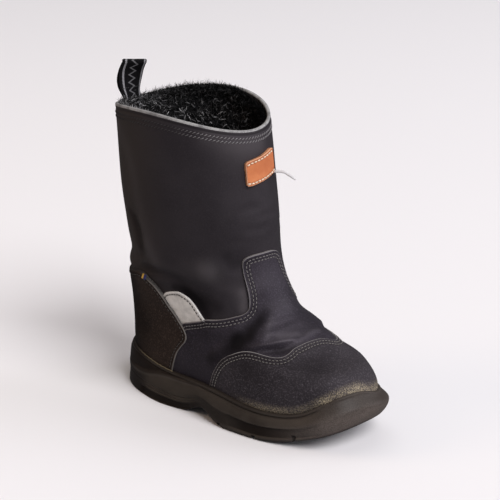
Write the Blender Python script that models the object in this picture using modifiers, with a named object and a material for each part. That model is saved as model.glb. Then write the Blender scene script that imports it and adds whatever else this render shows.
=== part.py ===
"""A child's pull-on winter boot for the right foot, standing on its sole.

+X points to the toe, +Y to the inner side of the foot and +Z up. The origin is on the
floor under the middle of the heel. One function, skin(), gives the outside of the upper,
and every panel, the sole's rim and the insole are taken from it.
"""
import math
from collections import namedtuple

import bmesh
import bpy
from mathutils import Vector

# Driving dimensions, in metres
LAST_LENGTH = 0.186
BALL_WIDTH = 0.0735
BOOT_HEIGHT = 0.1975

# Thicknesses and clearances, in metres
WALL = 0.0026
FIT_GAP = 0.0006
PANEL_GAP = 0.0009
SADDLE_GAP = 0.0012
SEAM_GAP = 0.0003
LEATHER = 0.0010
STIFF_LEATHER = 0.0017
REFLECTOR_THICKNESS = 0.0008
PATCH_THICKNESS = 0.0014
INSOLE_THICKNESS = 0.0036

# The upper as tilted rings, from the edge held in the sole to the collar. A ring runs from
# the back of the boot to its front. Lengths along the boot are percent of LAST_LENGTH,
# heights percent of BOOT_HEIGHT, and half widths percent of BALL_WIDTH.
#   widest       share of the ring's length at which it is widest
#   front_power  superellipse power in front of that, and back_power behind it
#   waist_out    share by which the outer side is drawn in at the arch, waist_in the inner
#   swing        how far the front of the ring bends to the inner side
#   dip          how far the ring sags under the ball of the foot
Ring = namedtuple(
    "Ring",
    "name back_x back_z front_x front_z half_out half_in widest front_power back_power"
    " waist_out waist_in swing dip",
)
RINGS = (
    Ring("feather", -15.9, 10.6, 78.5, 10.1, 46.3, 42.9, 0.66, 2.15, 2.60, 0.06, 0.12, 6.8, 2.5),
    Ring("edge", -15.8, 17.7, 82.2, 17.0, 49.0, 45.6, 0.66, 2.20, 2.60, 0.03, 0.08, 6.8, 1.0),
    Ring("roll", -15.8, 23.5, 77.8, 23.0, 48.3, 44.9, 0.65, 2.25, 2.60, 0.02, 0.06, 6.1, 0.3),
    Ring("toe_top", -16.0, 28.9, 70.4, 25.2, 46.5, 43.1, 0.63, 2.20, 2.60, 0.01, 0.04, 5.4, 0.0),
    Ring("vamp", -16.3, 34.2, 60.9, 30.8, 46.0, 43.8, 0.60, 2.10, 2.50, 0.00, 0.02, 4.8, 0.0),
    Ring("instep", -16.4, 40.0, 50.2, 35.8, 48.4, 47.6, 0.56, 2.10, 2.40, 0.00, 0.00, 2.7, 0.0),
    Ring("bend", -16.4, 46.6, 44.2, 45.7, 52.5, 51.8, 0.53, 2.10, 2.20, 0.00, 0.00, 1.4, 0.0),
    Ring("ankle", -16.8, 54.4, 41.3, 53.9, 56.2, 56.2, 0.50, 2.10, 2.10, 0.00, 0.00, 0.7, 0.0),
    Ring("leg", -19.1, 68.1, 40.3, 68.1, 58.2, 58.2, 0.50, 2.05, 2.05, 0.00, 0.00, 0.0, 0.0),
    Ring("leg_mid", -21.0, 82.8, 38.4, 82.8, 59.2, 59.2, 0.50, 2.00, 2.00, 0.00, 0.00, 0.0, 0.0),
    Ring("collar", -22.0, 100.0, 35.8, 100.0, 60.5, 60.5, 0.50, 2.00, 2.00, 0.00, 0.00, 0.0, 0.0),
)
TOP_LEVEL = len(RINGS) - 1
ANKLE_LEVEL = 7
WAIST_CENTRE = 0.40
WAIST_SPREAD = 0.13
DIP_CENTRE = 0.68
DIP_SPREAD = 0.20

# The collar is scooped at the front and back, and stands a little higher behind
COLLAR_WAVE = 0.0033
COLLAR_TILT = 0.0018

# The leg leather folds out over the top of the heel counter
FOLD_DEPTH = 0.0022
FOLD_LEVEL = 5.95
FOLD_SPREAD = 0.40
FOLD_HALF_ANGLE = 80

# Edges of the panels on the outer side, as (angle, level) pairs. An angle of 0 degrees is
# the middle of the back, 90 the outer side and 180 the middle of the front. A level is a
# place between the rings: 3.5 is halfway from toe_top to vamp. The inner side mirrors them.
CAP_SIDE = ((88.0, None), (88.5, 0.75), (91.0, 1.25), (95.0, 1.75), (100.0, 2.30))
CAP_TOP = ((100.0, 2.30), (108.0, 2.90), (117.0, 3.25), (127.0, 3.38), (137.0, 3.30),
           (146.0, 3.45), (155.0, 3.70), (166.0, 3.93), (180.0, 4.02))
COUNTER_LOW_FRONT = ((66.0, None), (70.5, 1.40), (79.5, 2.80), (82.0, 3.50))
COUNTER_HIGH_FRONT = ((82.0, 3.50), (79.0, 4.10), (77.5, 4.70), (76.0, 5.20))
COUNTER_TOP = ((0.0, 5.32), (29.0, 5.38), (48.0, 5.62), (62.0, 5.70), (71.0, 5.55), (76.0, 5.20))
VAMP_REAR = ((82.0, 3.50), (92.0, 3.88), (105.0, 4.33))
VAMP_SIDE = ((105.0, 4.33), (120.0, 4.74), (134.0, 5.12))
VAMP_TAB = ((134.0, 5.12), (143.0, 5.42), (147.5, 5.80), (149.5, 6.35), (151.0, 6.85),
            (155.0, 7.08), (164.0, 7.18), (180.0, 7.22))
REFLECTOR_TOP = ((76.0, 5.20), (82.0, 5.42), (90.0, 5.55), (99.0, 5.52))
REFLECTOR_FRONT = ((105.0, 4.33), (107.5, 4.75), (106.5, 5.15), (99.0, 5.52))

# How far the panels end above the sole's rim, in levels
PANEL_RISE = 0.08

# The leather patch on the front of the leg
PATCH_HALF_ANGLE = 18.5
PATCH_LOW_LEVEL = 8.84
PATCH_HIGH_LEVEL = 9.36

# Top of the sole's rim, as (percent of LAST_LENGTH, percent of BOOT_HEIGHT)
RIM_LINE = ((-17.7, 15.0), (0.0, 13.3), (12.0, 12.5), (34.0, 12.6), (50.0, 10.8), (61.8, 11.0),
            (69.0, 13.2), (75.8, 17.8), (82.2, 20.8))

# The underside, in metres
ARCH_X = 0.050
ARCH_SPREAD = 0.011
ARCH_RISE = 0.0068
TOE_SPRING_START = 0.094
TOE_SPRING_LENGTH = 0.064
TOE_SPRING_RISE = 0.0148
HEEL_BEVEL_START = -0.025
HEEL_BEVEL_RISE = 0.0008

# The sole's side wall from the ground to the rim. In each zone a row gives its share of the
# height there and how far it stands out from the upper, in millimetres.
Wall = namedtuple("Wall", "name heel waist ball toe")
SOLE_WALL = (
    Wall("ground_edge", (0.00, 4.2), (0.00, 2.4), (0.00, 2.4), (0.00, 1.0)),
    Wall("tread_side", (0.08, 5.2), (0.12, 3.8), (0.10, 4.8), (0.07, 5.0)),
    Wall("tread_top", (0.22, 5.8), (0.30, 4.2), (0.34, 6.0), (0.22, 8.4)),
    Wall("groove", (0.28, 4.9), (0.38, 4.2), (0.45, 6.1), (0.34, 9.4)),
    Wall("band", (0.36, 6.0), (0.46, 4.5), (0.58, 6.3), (0.46, 9.9)),
    Wall("ridge", (0.52, 6.4), (0.60, 5.3), (0.77, 6.4), (0.59, 9.9)),
    Wall("step", (0.61, 4.9), (0.69, 4.2), (0.83, 4.9), (0.71, 8.4)),
    Wall("hollow", (0.80, 5.0), (0.82, 4.3), (0.90, 4.7), (0.83, 6.2)),
    Wall("shoulder", (0.94, 5.0), (0.94, 4.6), (0.96, 4.6), (0.93, 4.4)),
    Wall("rim", (1.00, 3.4), (1.00, 3.4), (1.00, 3.4), (1.00, 3.4)),
)
# Where each zone holds, as (x in metres, zone)
ZONES = ((0.008, "heel"), (0.046, "waist"), (0.072, "ball"), (0.112, "ball"), (0.138, "toe"))
BED_ROWS = (1.0, 0.75, 0.5, 0.25, 0.0)

# Grooves cut across the tread: (x in metres, half length, depth)
GROOVE_WIDTH = 0.0030
GROOVES = (
    (-0.0190, 0.045, 0.0030), (-0.0080, 0.045, 0.0030), (0.0080, 0.045, 0.0030),
    (0.0200, 0.045, 0.0030), (0.0680, 0.050, 0.0030), (0.0820, 0.024, 0.0022),
    (0.0960, 0.055, 0.0030), (0.1100, 0.024, 0.0040), (0.1240, 0.055, 0.0050),
)

# The webbing loop inside the back of the collar: (height above the collar's level, how far
# it leans back, half the distance between its two legs, turn in degrees), in metres
LOOP_WIDTH = 0.0160
LOOP_THICKNESS = 0.0011
LOOP_INSET = 0.0038
LOOP_ROWS = (
    (-0.0120, 0.0000, 0.0008, 0), (-0.0040, 0.0000, 0.0008, 0), (0.0020, 0.0006, 0.0009, 4),
    (0.0065, 0.0050, 0.0016, 14), (0.0110, 0.0070, 0.0021, 26), (0.0160, 0.0064, 0.0021, 39),
    (0.0200, 0.0044, 0.0018, 47), (0.0222, 0.0030, 0.0015, 50),
)

COLUMNS = 60
RELAX_PASSES = 12
UPPER_LEVELS = (0, 0.35, 0.7, 1.0, 1.5, 2.0, 2.5, 3.0, 3.5, 4.0, 4.35, 4.7, 5.03, 5.35, 5.65,
                5.95, 6.4, 7.0, 8.2, 9.3, 10.0)


def blend(low, high, share):
    return low + (high - low) * share


def smooth_step(value, low, high):
    share = min(max((value - low) / (high - low), 0.0), 1.0)
    return share * share * (3.0 - 2.0 * share)


def bell(value, centre, spread):
    return math.exp(-(((value - centre) / spread) ** 2))


def smooth_value(values, place):
    """Catmull-Rom curve through evenly spaced values, read at a place counted in values."""
    last = len(values) - 1
    i = min(max(int(math.floor(place)), 0), last - 1)
    f = place - i
    b, c = values[i], values[i + 1]
    a = values[i - 1] if i > 0 else 2.0 * b - c
    d = values[i + 2] if i + 2 <= last else 2.0 * c - b
    cubic = (-a + 3.0 * b - 3.0 * c + d) * f ** 3
    return 0.5 * (2.0 * b + (c - a) * f + (2.0 * a - 5.0 * b + 4.0 * c - d) * f * f + cubic)


def line_value(line, x):
    """A height read from a line of (x, height) points, smooth between them."""
    x = min(max(x, line[0][0]), line[-1][0])
    i = next(k for k in range(len(line) - 1) if x <= line[k + 1][0])
    place = i + (x - line[i][0]) / (line[i + 1][0] - line[i][0])
    return smooth_value([height for _, height in line], place)


def ring_at(level):
    """The thirteen sizes of the ring at a level, in metres, shares and powers."""
    sizes = [smooth_value(column, level) for column in zip(*(ring[1:] for ring in RINGS))]
    ring = Ring("", *sizes)
    along, up, across = LAST_LENGTH / 100, BOOT_HEIGHT / 100, BALL_WIDTH / 100
    return ring._replace(
        back_x=ring.back_x * along, front_x=ring.front_x * along, back_z=ring.back_z * up,
        front_z=ring.front_z * up, half_out=ring.half_out * across,
        half_in=ring.half_in * across, swing=ring.swing * across, dip=ring.dip * up,
    )


def skin(angle, level):
    """A point of the upper's outside, at an angle in degrees round the boot and a level."""
    ring = ring_at(level)
    turn = math.radians(angle)
    share = (1.0 - math.cos(turn)) / 2.0
    if share > ring.widest:
        part = min((share - ring.widest) / (1.0 - ring.widest), 1.0)
        width = (1.0 - part ** ring.front_power) ** (1.0 / ring.front_power)
    else:
        part = min((ring.widest - share) / ring.widest, 1.0)
        width = (1.0 - part ** ring.back_power) ** (1.0 / ring.back_power)
    waist = bell(share, WAIST_CENTRE, WAIST_SPREAD)
    if math.sin(turn) >= 0.0:
        y = -ring.half_out * width * (1.0 - ring.waist_out * waist)
    else:
        y = ring.half_in * width * (1.0 - ring.waist_in * waist)
    y += ring.swing * max((share - 0.35) / 0.65, 0.0) ** 2
    x = blend(ring.back_x, ring.front_x, share)
    z = blend(ring.back_z, ring.front_z, share)
    z -= ring.dip * bell(share, DIP_CENTRE, DIP_SPREAD)
    rise = max((level - ANKLE_LEVEL) / (TOP_LEVEL - ANKLE_LEVEL), 0.0) ** 2
    z += rise * (COLLAR_TILT * math.cos(turn) - COLLAR_WAVE * math.cos(2.0 * turn))
    from_back = abs((angle + 180.0) % 360.0 - 180.0)
    fold = FOLD_DEPTH * bell(level, FOLD_LEVEL, FOLD_SPREAD)
    fold *= 1.0 - smooth_step(from_back, FOLD_HALF_ANGLE * 0.5, FOLD_HALF_ANGLE)
    return Vector((x - fold * math.cos(turn), y - fold * math.sin(turn), z))


def on_skin(angle, level, proud):
    """A point that stands proud of the upper's outside, along its normal."""
    low, high = max(level - 0.05, 0.0), min(level + 0.05, TOP_LEVEL)
    round_boot = skin(angle + 1.0, level) - skin(angle - 1.0, level)
    up_boot = skin(angle, high) - skin(angle, low)
    return skin(angle, level) + round_boot.cross(up_boot).normalized() * proud


def rim_height(x):
    return line_value(RIM_LINE, x / LAST_LENGTH * 100.0) / 100.0 * BOOT_HEIGHT


def rim_level(angle):
    """The level at which the upper comes out of the sole."""
    low, high = 0.0, 2.0
    for _ in range(24):
        middle = (low + high) / 2.0
        point = skin(angle, middle)
        if point.z < rim_height(point.x):
            low = middle
        else:
            high = middle
    return low


def rim_outward(angle):
    """The horizontal direction that points away from the boot at the sole's rim."""
    along = skin(angle + 1.5, rim_level(angle + 1.5)) - skin(angle - 1.5, rim_level(angle - 1.5))
    return Vector((along.y, -along.x, 0.0)).normalized()


def underside(x):
    """The height of the sole's underside above the floor."""
    toe = max((x - TOE_SPRING_START) / TOE_SPRING_LENGTH, 0.0) ** 1.8 * TOE_SPRING_RISE
    heel = smooth_step(-x, -HEEL_BEVEL_START, 0.038) * HEEL_BEVEL_RISE
    arch = ARCH_RISE * bell(x, ARCH_X, ARCH_SPREAD)
    return toe + heel + (arch if arch > 0.0002 else 0.0)


def zone_mix(x):
    """The two wall zones that x lies between, and the share of the second."""
    if x <= ZONES[0][0]:
        return ZONES[0][1], ZONES[0][1], 0.0
    for (low, first), (high, second) in zip(ZONES, ZONES[1:]):
        if x <= high:
            return first, second, smooth_step(x, low, high)
    return ZONES[-1][1], ZONES[-1][1], 0.0


# Blender objects

def material(name, color, roughness, metallic=0.0):
    made = bpy.data.materials.new(name)
    made.use_nodes = True
    shader = made.node_tree.nodes["Principled BSDF"]
    shader.inputs["Base Color"].default_value = (*color, 1.0)
    shader.inputs["Roughness"].default_value = roughness
    shader.inputs["Metallic"].default_value = metallic
    made.diffuse_color = (*color, 1.0)
    return made


def add_object(name, mesh, collection, finish=None):
    made = bpy.data.objects.new(name, mesh)
    collection.objects.link(made)
    if finish:
        mesh.materials.append(finish)
        mesh.shade_smooth()
        mesh.set_sharp_from_angle(angle=math.radians(40))
    return made


def loft(name, rows, collection, finish, closed=False, capped=False):
    """A surface through rows of points. A closed row joins its last point to its first, and
    caps are strips across the boot between the points at equal angles."""
    shape = bmesh.new()
    grid = [[shape.verts.new(point) for point in row] for row in rows]
    count = len(rows[0])
    for low, high in zip(grid, grid[1:]):
        for i in range(count if closed else count - 1):
            j = (i + 1) % count
            shape.faces.new((low[i], low[j], high[j], high[i]))
    if capped:
        for row, order in ((grid[0], -1), (grid[-1], 1)):
            for i in range(count // 2):
                ends = [row[i], row[i + 1], row[-i - 1], row[-i % count]]
                corners = [end for k, end in enumerate(ends) if end not in ends[:k]]
                shape.faces.new(corners[::order])
    bmesh.ops.recalc_face_normals(shape, faces=shape.faces)
    mesh = bpy.data.meshes.new(name)
    shape.to_mesh(mesh)
    shape.free()
    return add_object(name, mesh, collection, finish)


def thicken(made, thickness, side):
    """side is 1 to thicken outwards, and -1 inwards."""
    solid = made.modifiers.new("Solidify", "SOLIDIFY")
    solid.thickness = thickness
    solid.offset = side
    solid.use_even_offset = True
    solid.use_rim = True
    return made


def face_outwards(made, inside_point):
    """Turns an open panel's faces so that they look away from a point inside the boot."""
    mesh = made.data
    face = mesh.polygons[len(mesh.polygons) // 2]
    if face.normal.dot(face.center - inside_point) < 0.0:
        mesh.flip_normals()
    return made


def edge_points(edge, count):
    """Evenly spread points of a panel's edge, smooth through its (angle, level) pairs. A
    level of None is the height at which the upper comes out of the sole."""
    angles = [angle for angle, _ in edge]
    levels = [rim_level(angle) + PANEL_RISE if level is None else level for angle, level in edge]
    places = [k * (len(edge) - 1) / (count - 1) for k in range(count)]
    return [(smooth_value(angles, place), smooth_value(levels, place)) for place in places]


def rim_points(first, last, count):
    angles = [blend(first, last, k / (count - 1)) for k in range(count)]
    return [(angle, rim_level(angle) + PANEL_RISE) for angle in angles]


def opposite(edge):
    """The same edge on the inner side of the boot."""
    return [(360.0 - angle, level) for angle, level in edge]


def mirrored(points):
    """A half edge that ends at the middle of the front or back, with its other half."""
    middle = points[-1][0]
    return points + [(2.0 * middle - angle, level) for angle, level in points[-2::-1]]


def pair_mix(first, second, share):
    return tuple(blend(a, b, share) for a, b in zip(first, second))


def panel_grid(low, high, left, right):
    """A Coons patch between four edges of (angle, level) pairs, relaxed to even cells."""
    rows = []
    columns = len(low)
    for j in range(len(left)):
        v = j / (len(left) - 1)
        row = []
        for i in range(columns):
            u = i / (columns - 1)
            across = pair_mix(low[i], high[i], v)
            upward = pair_mix(left[j], right[j], u)
            corners = pair_mix(pair_mix(low[0], low[-1], u), pair_mix(high[0], high[-1], u), v)
            row.append(tuple(a + b - c for a, b, c in zip(across, upward, corners)))
        rows.append(row)
    for _ in range(RELAX_PASSES):
        for j in range(1, len(rows) - 1):
            for i in range(1, columns - 1):
                sides = (rows[j - 1][i], rows[j + 1][i], rows[j][i - 1], rows[j][i + 1])
                rows[j][i] = tuple(sum(values) / 4.0 for values in zip(*sides))
    return rows


def inset_rows(rows, margin):
    """Moves the edge points of a panel in towards its middle, to leave room for a seam."""
    last_row, last_column = len(rows) - 1, len(rows[0]) - 1
    for j, row in enumerate(rows):
        for i, point in enumerate(row):
            if 0 < j < last_row and 0 < i < last_column:
                continue
            near = rows[min(max(j, 1), last_row - 1)][min(max(i, 1), last_column - 1)]
            row[i] = point + (near - point).normalized() * margin
    return rows


def panel(name, low, high, left, right, gap, thickness, collection, finish):
    grid = panel_grid(low, high, left, right)
    rows = [[on_skin(angle, level, gap) for angle, level in row] for row in grid]
    made = loft(name, inset_rows(rows, SEAM_GAP), collection, finish)
    face_outwards(made, Vector((0.02, 0.0, 0.05)))
    return thicken(made, thickness, 1)


def make_upper(collection, finish):
    angles = [k * 360.0 / COLUMNS for k in range(COLUMNS)]
    rows = [[skin(angle, level) for angle in angles] for level in UPPER_LEVELS]
    return thicken(loft("upper", rows, collection, finish, closed=True), WALL, -1)


def make_outsole(collection, cutters, finish):
    angles = [k * 360.0 / COLUMNS for k in range(COLUMNS)]
    rows = []
    for wall in SOLE_WALL:
        row = []
        for angle in angles:
            point = skin(angle, rim_level(angle))
            first, second, share = zone_mix(point.x)
            height, out = pair_mix(getattr(wall, first), getattr(wall, second), share)
            foot = point + rim_outward(angle) * out / 1000.0
            foot.z = blend(underside(foot.x), point.z, height)
            row.append(foot)
        rows.append(row)
    for share in BED_ROWS:
        row = []
        for angle in angles:
            level = rim_level(angle) * share
            point = skin(angle, level) + rim_outward(angle) * FIT_GAP
            row.append(point - Vector((0.0, 0.0, 0.0 if share else FIT_GAP)))
        rows.append(row)
    made = loft("outsole", rows, collection, finish, closed=True, capped=True)
    for x, half_length, depth in GROOVES:
        bpy.ops.mesh.primitive_cube_add(size=1.0)
        cutter = bpy.context.object
        cutter.name = f"groove_{round(x * 1000)}"
        for point in cutter.data.vertices:
            side = point.co * 2.0
            low = -0.004
            point.co = (x + side.x * GROOVE_WIDTH / 2.0, side.y * half_length,
                        underside(x) + (depth if side.z > 0.0 else low))
        for holder in cutter.users_collection:
            holder.objects.unlink(cutter)
        cutters.objects.link(cutter)
        cutter.hide_render = True
        cutter.display_type = "WIRE"
    cut = made.modifiers.new("Tread", "BOOLEAN")
    cut.operation = "DIFFERENCE"
    cut.operand_type = "COLLECTION"
    cut.collection = cutters
    cut.solver = "EXACT"
    return made


def make_insole(collection, finish):
    inset = WALL + 2.0 * FIT_GAP
    half = COLUMNS // 2
    rows = []
    for share in (-1.0, -0.6, 0.0, 0.6, 1.0):
        row = []
        for k in range(1, half):
            out = k * 360.0 / COLUMNS
            ends = []
            for angle in (out, 360.0 - out):
                point = skin(angle, 0.0)
                ends.append(point - rim_outward(angle) * inset)
            row.append(ends[0].lerp(ends[1], (share + 1.0) / 2.0))
        rows.append(row)
    made = loft("insole", rows, collection, finish)
    face_outwards(made, Vector((0.05, 0.0, -1.0)))
    return thicken(made, INSOLE_THICKNESS, 1)


def make_pull_loop(collection, finish):
    """A ribbon that goes up from inside the collar, folds over and comes down behind."""
    back = skin(0.0, TOP_LEVEL)
    legs = []
    for side in (1.0, -1.0):
        leg = []
        for rise, lean, half_gap, turn in LOOP_ROWS:
            across = Vector((math.sin(math.radians(turn)), math.cos(math.radians(turn)), 0.0))
            out = Vector((across.y, -across.x, 0.0)) * half_gap * side
            middle = Vector((back.x + WALL + LOOP_INSET - lean, 0.0, back.z + rise)) + out
            leg.append((middle, across))
        legs.append(leg)
    front, rear = legs
    top, across = front[-1][0].lerp(rear[-1][0], 0.5), front[-1][1]
    radius = (front[-1][0] - top).length
    bend = []
    for step in (45, 90, 135):
        out = (front[-1][0] - top) * math.cos(math.radians(step))
        bend.append((top + out + Vector((0.0, 0.0, radius * math.sin(math.radians(step)))), across))
    path = front + bend + rear[::-1]
    shares = (-0.5, 0.0, 0.5)
    rows = [[point + across * LOOP_WIDTH * s for s in shares] for point, across in path]
    made = loft("pull_loop", rows, collection, finish)
    return thicken(made, LOOP_THICKNESS, 0)


def make_boot():
    for old in list(bpy.data.objects):
        bpy.data.objects.remove(old, do_unlink=True)
    boot = bpy.data.collections.new("winter_boot")
    cutters = bpy.data.collections.new("tread_cutters")
    for made in (boot, cutters):
        bpy.context.scene.collection.children.link(made)
    cutters.hide_render = True

    leg_leather = material("leg_leather", (0.026, 0.024, 0.027), 0.45)
    vamp_leather = material("vamp_leather", (0.024, 0.022, 0.028), 0.40)
    cap_leather = material("cap_leather", (0.030, 0.029, 0.032), 0.60)
    counter_leather = material("counter_leather", (0.022, 0.018, 0.016), 0.50)
    reflector_fabric = material("reflector_fabric", (0.50, 0.48, 0.45), 0.40)
    patch_leather = material("patch_leather", (0.60, 0.24, 0.08), 0.50)
    webbing = material("webbing", (0.020, 0.020, 0.022), 0.80)
    sole_rubber = material("sole_rubber", (0.030, 0.027, 0.024), 0.55)
    insole_felt = material("insole_felt", (0.060, 0.060, 0.065), 0.95)

    make_upper(boot, leg_leather)
    make_outsole(boot, cutters, sole_rubber)
    make_insole(boot, insole_felt)

    cap_side, cap_side_in = edge_points(CAP_SIDE, 8), edge_points(opposite(CAP_SIDE), 8)
    cap_top = mirrored(edge_points(CAP_TOP, 16))
    panel("toe_cap", rim_points(88.0, 272.0, 31), cap_top, cap_side, cap_side_in, PANEL_GAP,
          STIFF_LEATHER, boot, cap_leather)

    low_front, low_front_in = [edge_points(edge, 7) for edge in
                               (COUNTER_LOW_FRONT, opposite(COUNTER_LOW_FRONT))]
    counter_side = low_front + edge_points(COUNTER_HIGH_FRONT, 4)[1:]
    counter_side_in = low_front_in + edge_points(opposite(COUNTER_HIGH_FRONT), 4)[1:]
    counter_side_in = [(angle - 360.0, level) for angle, level in counter_side_in]
    panel("heel_counter", rim_points(66.0, -66.0, 23), mirrored(edge_points(COUNTER_TOP, 12)[::-1]),
          counter_side, counter_side_in, PANEL_GAP, STIFF_LEATHER, boot, counter_leather)

    vamp_foot = rim_points(66.0, 88.0, 4)[:-1] + cap_side[:-1] + cap_top
    vamp_foot += cap_side_in[-2::-1] + rim_points(272.0, 294.0, 4)[1:]
    vamp_rear = edge_points(VAMP_REAR, 11)
    vamp_top = vamp_rear[:-1] + edge_points(VAMP_SIDE, 4)[:-1] + edge_points(VAMP_TAB, 13)
    panel("vamp", vamp_foot, mirrored(vamp_top), low_front, low_front_in, SADDLE_GAP,
          LEATHER, boot, vamp_leather)

    panel("reflector", vamp_rear, edge_points(REFLECTOR_TOP, 11),
          edge_points(COUNTER_HIGH_FRONT, 4), edge_points(REFLECTOR_FRONT, 4),
          PANEL_GAP, REFLECTOR_THICKNESS, boot, reflector_fabric)

    first, last = 180.0 - PATCH_HALF_ANGLE, 180.0 + PATCH_HALF_ANGLE
    low, high = PATCH_LOW_LEVEL, PATCH_HIGH_LEVEL
    panel("front_patch", edge_points(((first, low), (last, low)), 9),
          edge_points(((first, high), (last, high)), 9),
          edge_points(((first, low), (first, high)), 3),
          edge_points(((last, low), (last, high)), 3), PANEL_GAP, PATCH_THICKNESS, boot,
          patch_leather)

    make_pull_loop(boot, webbing)


make_boot()
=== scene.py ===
import math

import bpy
import numpy as np
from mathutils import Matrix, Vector
from mathutils.bvhtree import BVHTree


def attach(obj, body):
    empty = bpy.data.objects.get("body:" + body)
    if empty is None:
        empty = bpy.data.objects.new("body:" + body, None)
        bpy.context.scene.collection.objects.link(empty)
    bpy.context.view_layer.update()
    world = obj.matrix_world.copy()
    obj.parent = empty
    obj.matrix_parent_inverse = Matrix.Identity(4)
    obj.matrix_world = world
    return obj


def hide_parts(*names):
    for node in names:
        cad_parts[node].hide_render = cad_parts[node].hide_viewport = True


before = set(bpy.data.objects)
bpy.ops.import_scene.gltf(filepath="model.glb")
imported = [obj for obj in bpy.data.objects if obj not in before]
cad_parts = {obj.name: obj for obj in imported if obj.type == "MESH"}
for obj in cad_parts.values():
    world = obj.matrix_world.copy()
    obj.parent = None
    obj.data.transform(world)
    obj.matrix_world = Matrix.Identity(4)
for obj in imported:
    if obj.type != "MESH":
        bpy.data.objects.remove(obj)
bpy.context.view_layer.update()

seeded = np.random.default_rng(28)
print("frame loaded")

# The boot's form. A ring is one tilted section of the upper, from the edge held in the sole
# to the collar: lengths are percent of the last's length, heights percent of the boot's
# height and half widths percent of the ball's width.
boot = {
    "lastLength": 0.186,
    "ballWidth": 0.0735,
    "height": 0.1975,
    "waistCentre": 0.40,
    "waistSpread": 0.13,
    "dipCentre": 0.68,
    "dipSpread": 0.20,
    "swingFrom": 0.35,
    "collarWave": 0.0050,
    "collarTilt": 0.0010,
    "collarInnerDrop": 0.0016,
    "foldDepth": 0.0022,
    "foldLevel": 5.95,
    "foldSpread": 0.40,
    "foldHalfAngle": 80,
    # backX backZ frontX frontZ halfOut halfIn widest frontPower backPower waistOut waistIn swing dip
    "rings": (
        (-15.9, 10.6, 78.5, 10.1, 46.3, 42.9, 0.66, 2.15, 2.60, 0.06, 0.12, 6.8, 2.5),  # feather
        (-15.8, 17.7, 82.2, 17.0, 49.0, 45.6, 0.66, 2.20, 2.60, 0.03, 0.08, 6.8, 1.0),  # edge
        (-15.8, 23.5, 77.8, 23.0, 48.3, 44.9, 0.65, 2.25, 2.60, 0.02, 0.06, 6.1, 0.3),  # roll
        (-16.0, 28.9, 70.4, 25.2, 46.5, 43.1, 0.63, 2.20, 2.60, 0.01, 0.04, 5.4, 0.0),  # toe top
        (-16.3, 34.2, 60.9, 30.8, 46.0, 43.8, 0.60, 2.10, 2.50, 0.00, 0.02, 4.8, 0.0),  # vamp
        (-16.4, 40.0, 50.2, 35.8, 48.4, 47.6, 0.56, 2.10, 2.40, 0.00, 0.00, 2.7, 0.0),  # instep
        (-16.4, 46.6, 44.2, 45.7, 52.5, 51.8, 0.53, 2.10, 2.20, 0.00, 0.00, 1.4, 0.0),  # bend
        (-16.8, 54.4, 41.3, 53.9, 56.2, 56.2, 0.50, 2.10, 2.10, 0.00, 0.00, 0.7, 0.0),  # ankle
        (-19.1, 68.1, 40.3, 68.1, 58.2, 58.2, 0.50, 2.05, 2.05, 0.00, 0.00, 0.0, 0.0),  # leg
        (-21.0, 82.8, 38.4, 82.8, 59.2, 59.2, 0.50, 2.00, 2.00, 0.00, 0.00, 0.0, 0.0),  # leg middle
        (-22.0, 100.0, 35.8, 100.0, 60.5, 60.5, 0.50, 2.00, 2.00, 0.00, 0.00, 0.0, 0.0),  # collar
    ),
}
percent = np.array([boot["lastLength"], boot["height"], boot["ballWidth"]]) / 100
ringUnits = np.ones(13)
ringUnits[[0, 2]] = percent[0]
ringUnits[[1, 3, 12]] = percent[1]
ringUnits[[4, 5, 11]] = percent[2]
ringSizes = np.array(boot["rings"]) * ringUnits
topLevel = len(ringSizes) - 1
ankleLevel = 7


def smoothStep(value, low, high):
    share = np.clip((value - low) / (high - low), 0, 1)
    return share * share * (3 - 2 * share)


def inBand(value, rise, fall):  # 1 between two soft limits
    return smoothStep(value, *rise) * (1 - smoothStep(value, *fall))


def bell(value, centre, width):
    return np.exp(-(((value - centre) / width) ** 2))


def unit(vectors):
    return vectors / np.maximum(np.linalg.norm(vectors, axis=-1, keepdims=True), 1e-12)


def smoothRows(rows, place):  # Catmull-Rom through evenly spaced rows
    rows = np.asarray(rows, float)
    place = np.asarray(place, float)
    last = len(rows) - 1
    i = np.clip(np.floor(place).astype(int), 0, last - 1)
    shape = place.shape + (1,) * (rows.ndim - 1)
    f = (place - i).reshape(shape)
    b, c = rows[i], rows[i + 1]
    a = np.where((i > 0).reshape(shape), rows[np.maximum(i - 1, 0)], 2 * b - c)
    d = np.where((i < last - 1).reshape(shape), rows[np.minimum(i + 2, last)], 2 * c - b)
    cubic = (-a + 3 * b - 3 * c + d) * f**3
    return 0.5 * (2 * b + (c - a) * f + (2 * a - 5 * b + 4 * c - d) * f * f + cubic)


def lineValue(line, x):
    line = np.array(line)
    return smoothRows(line[:, 1], np.interp(x, line[:, 0], np.arange(len(line))))


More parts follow.
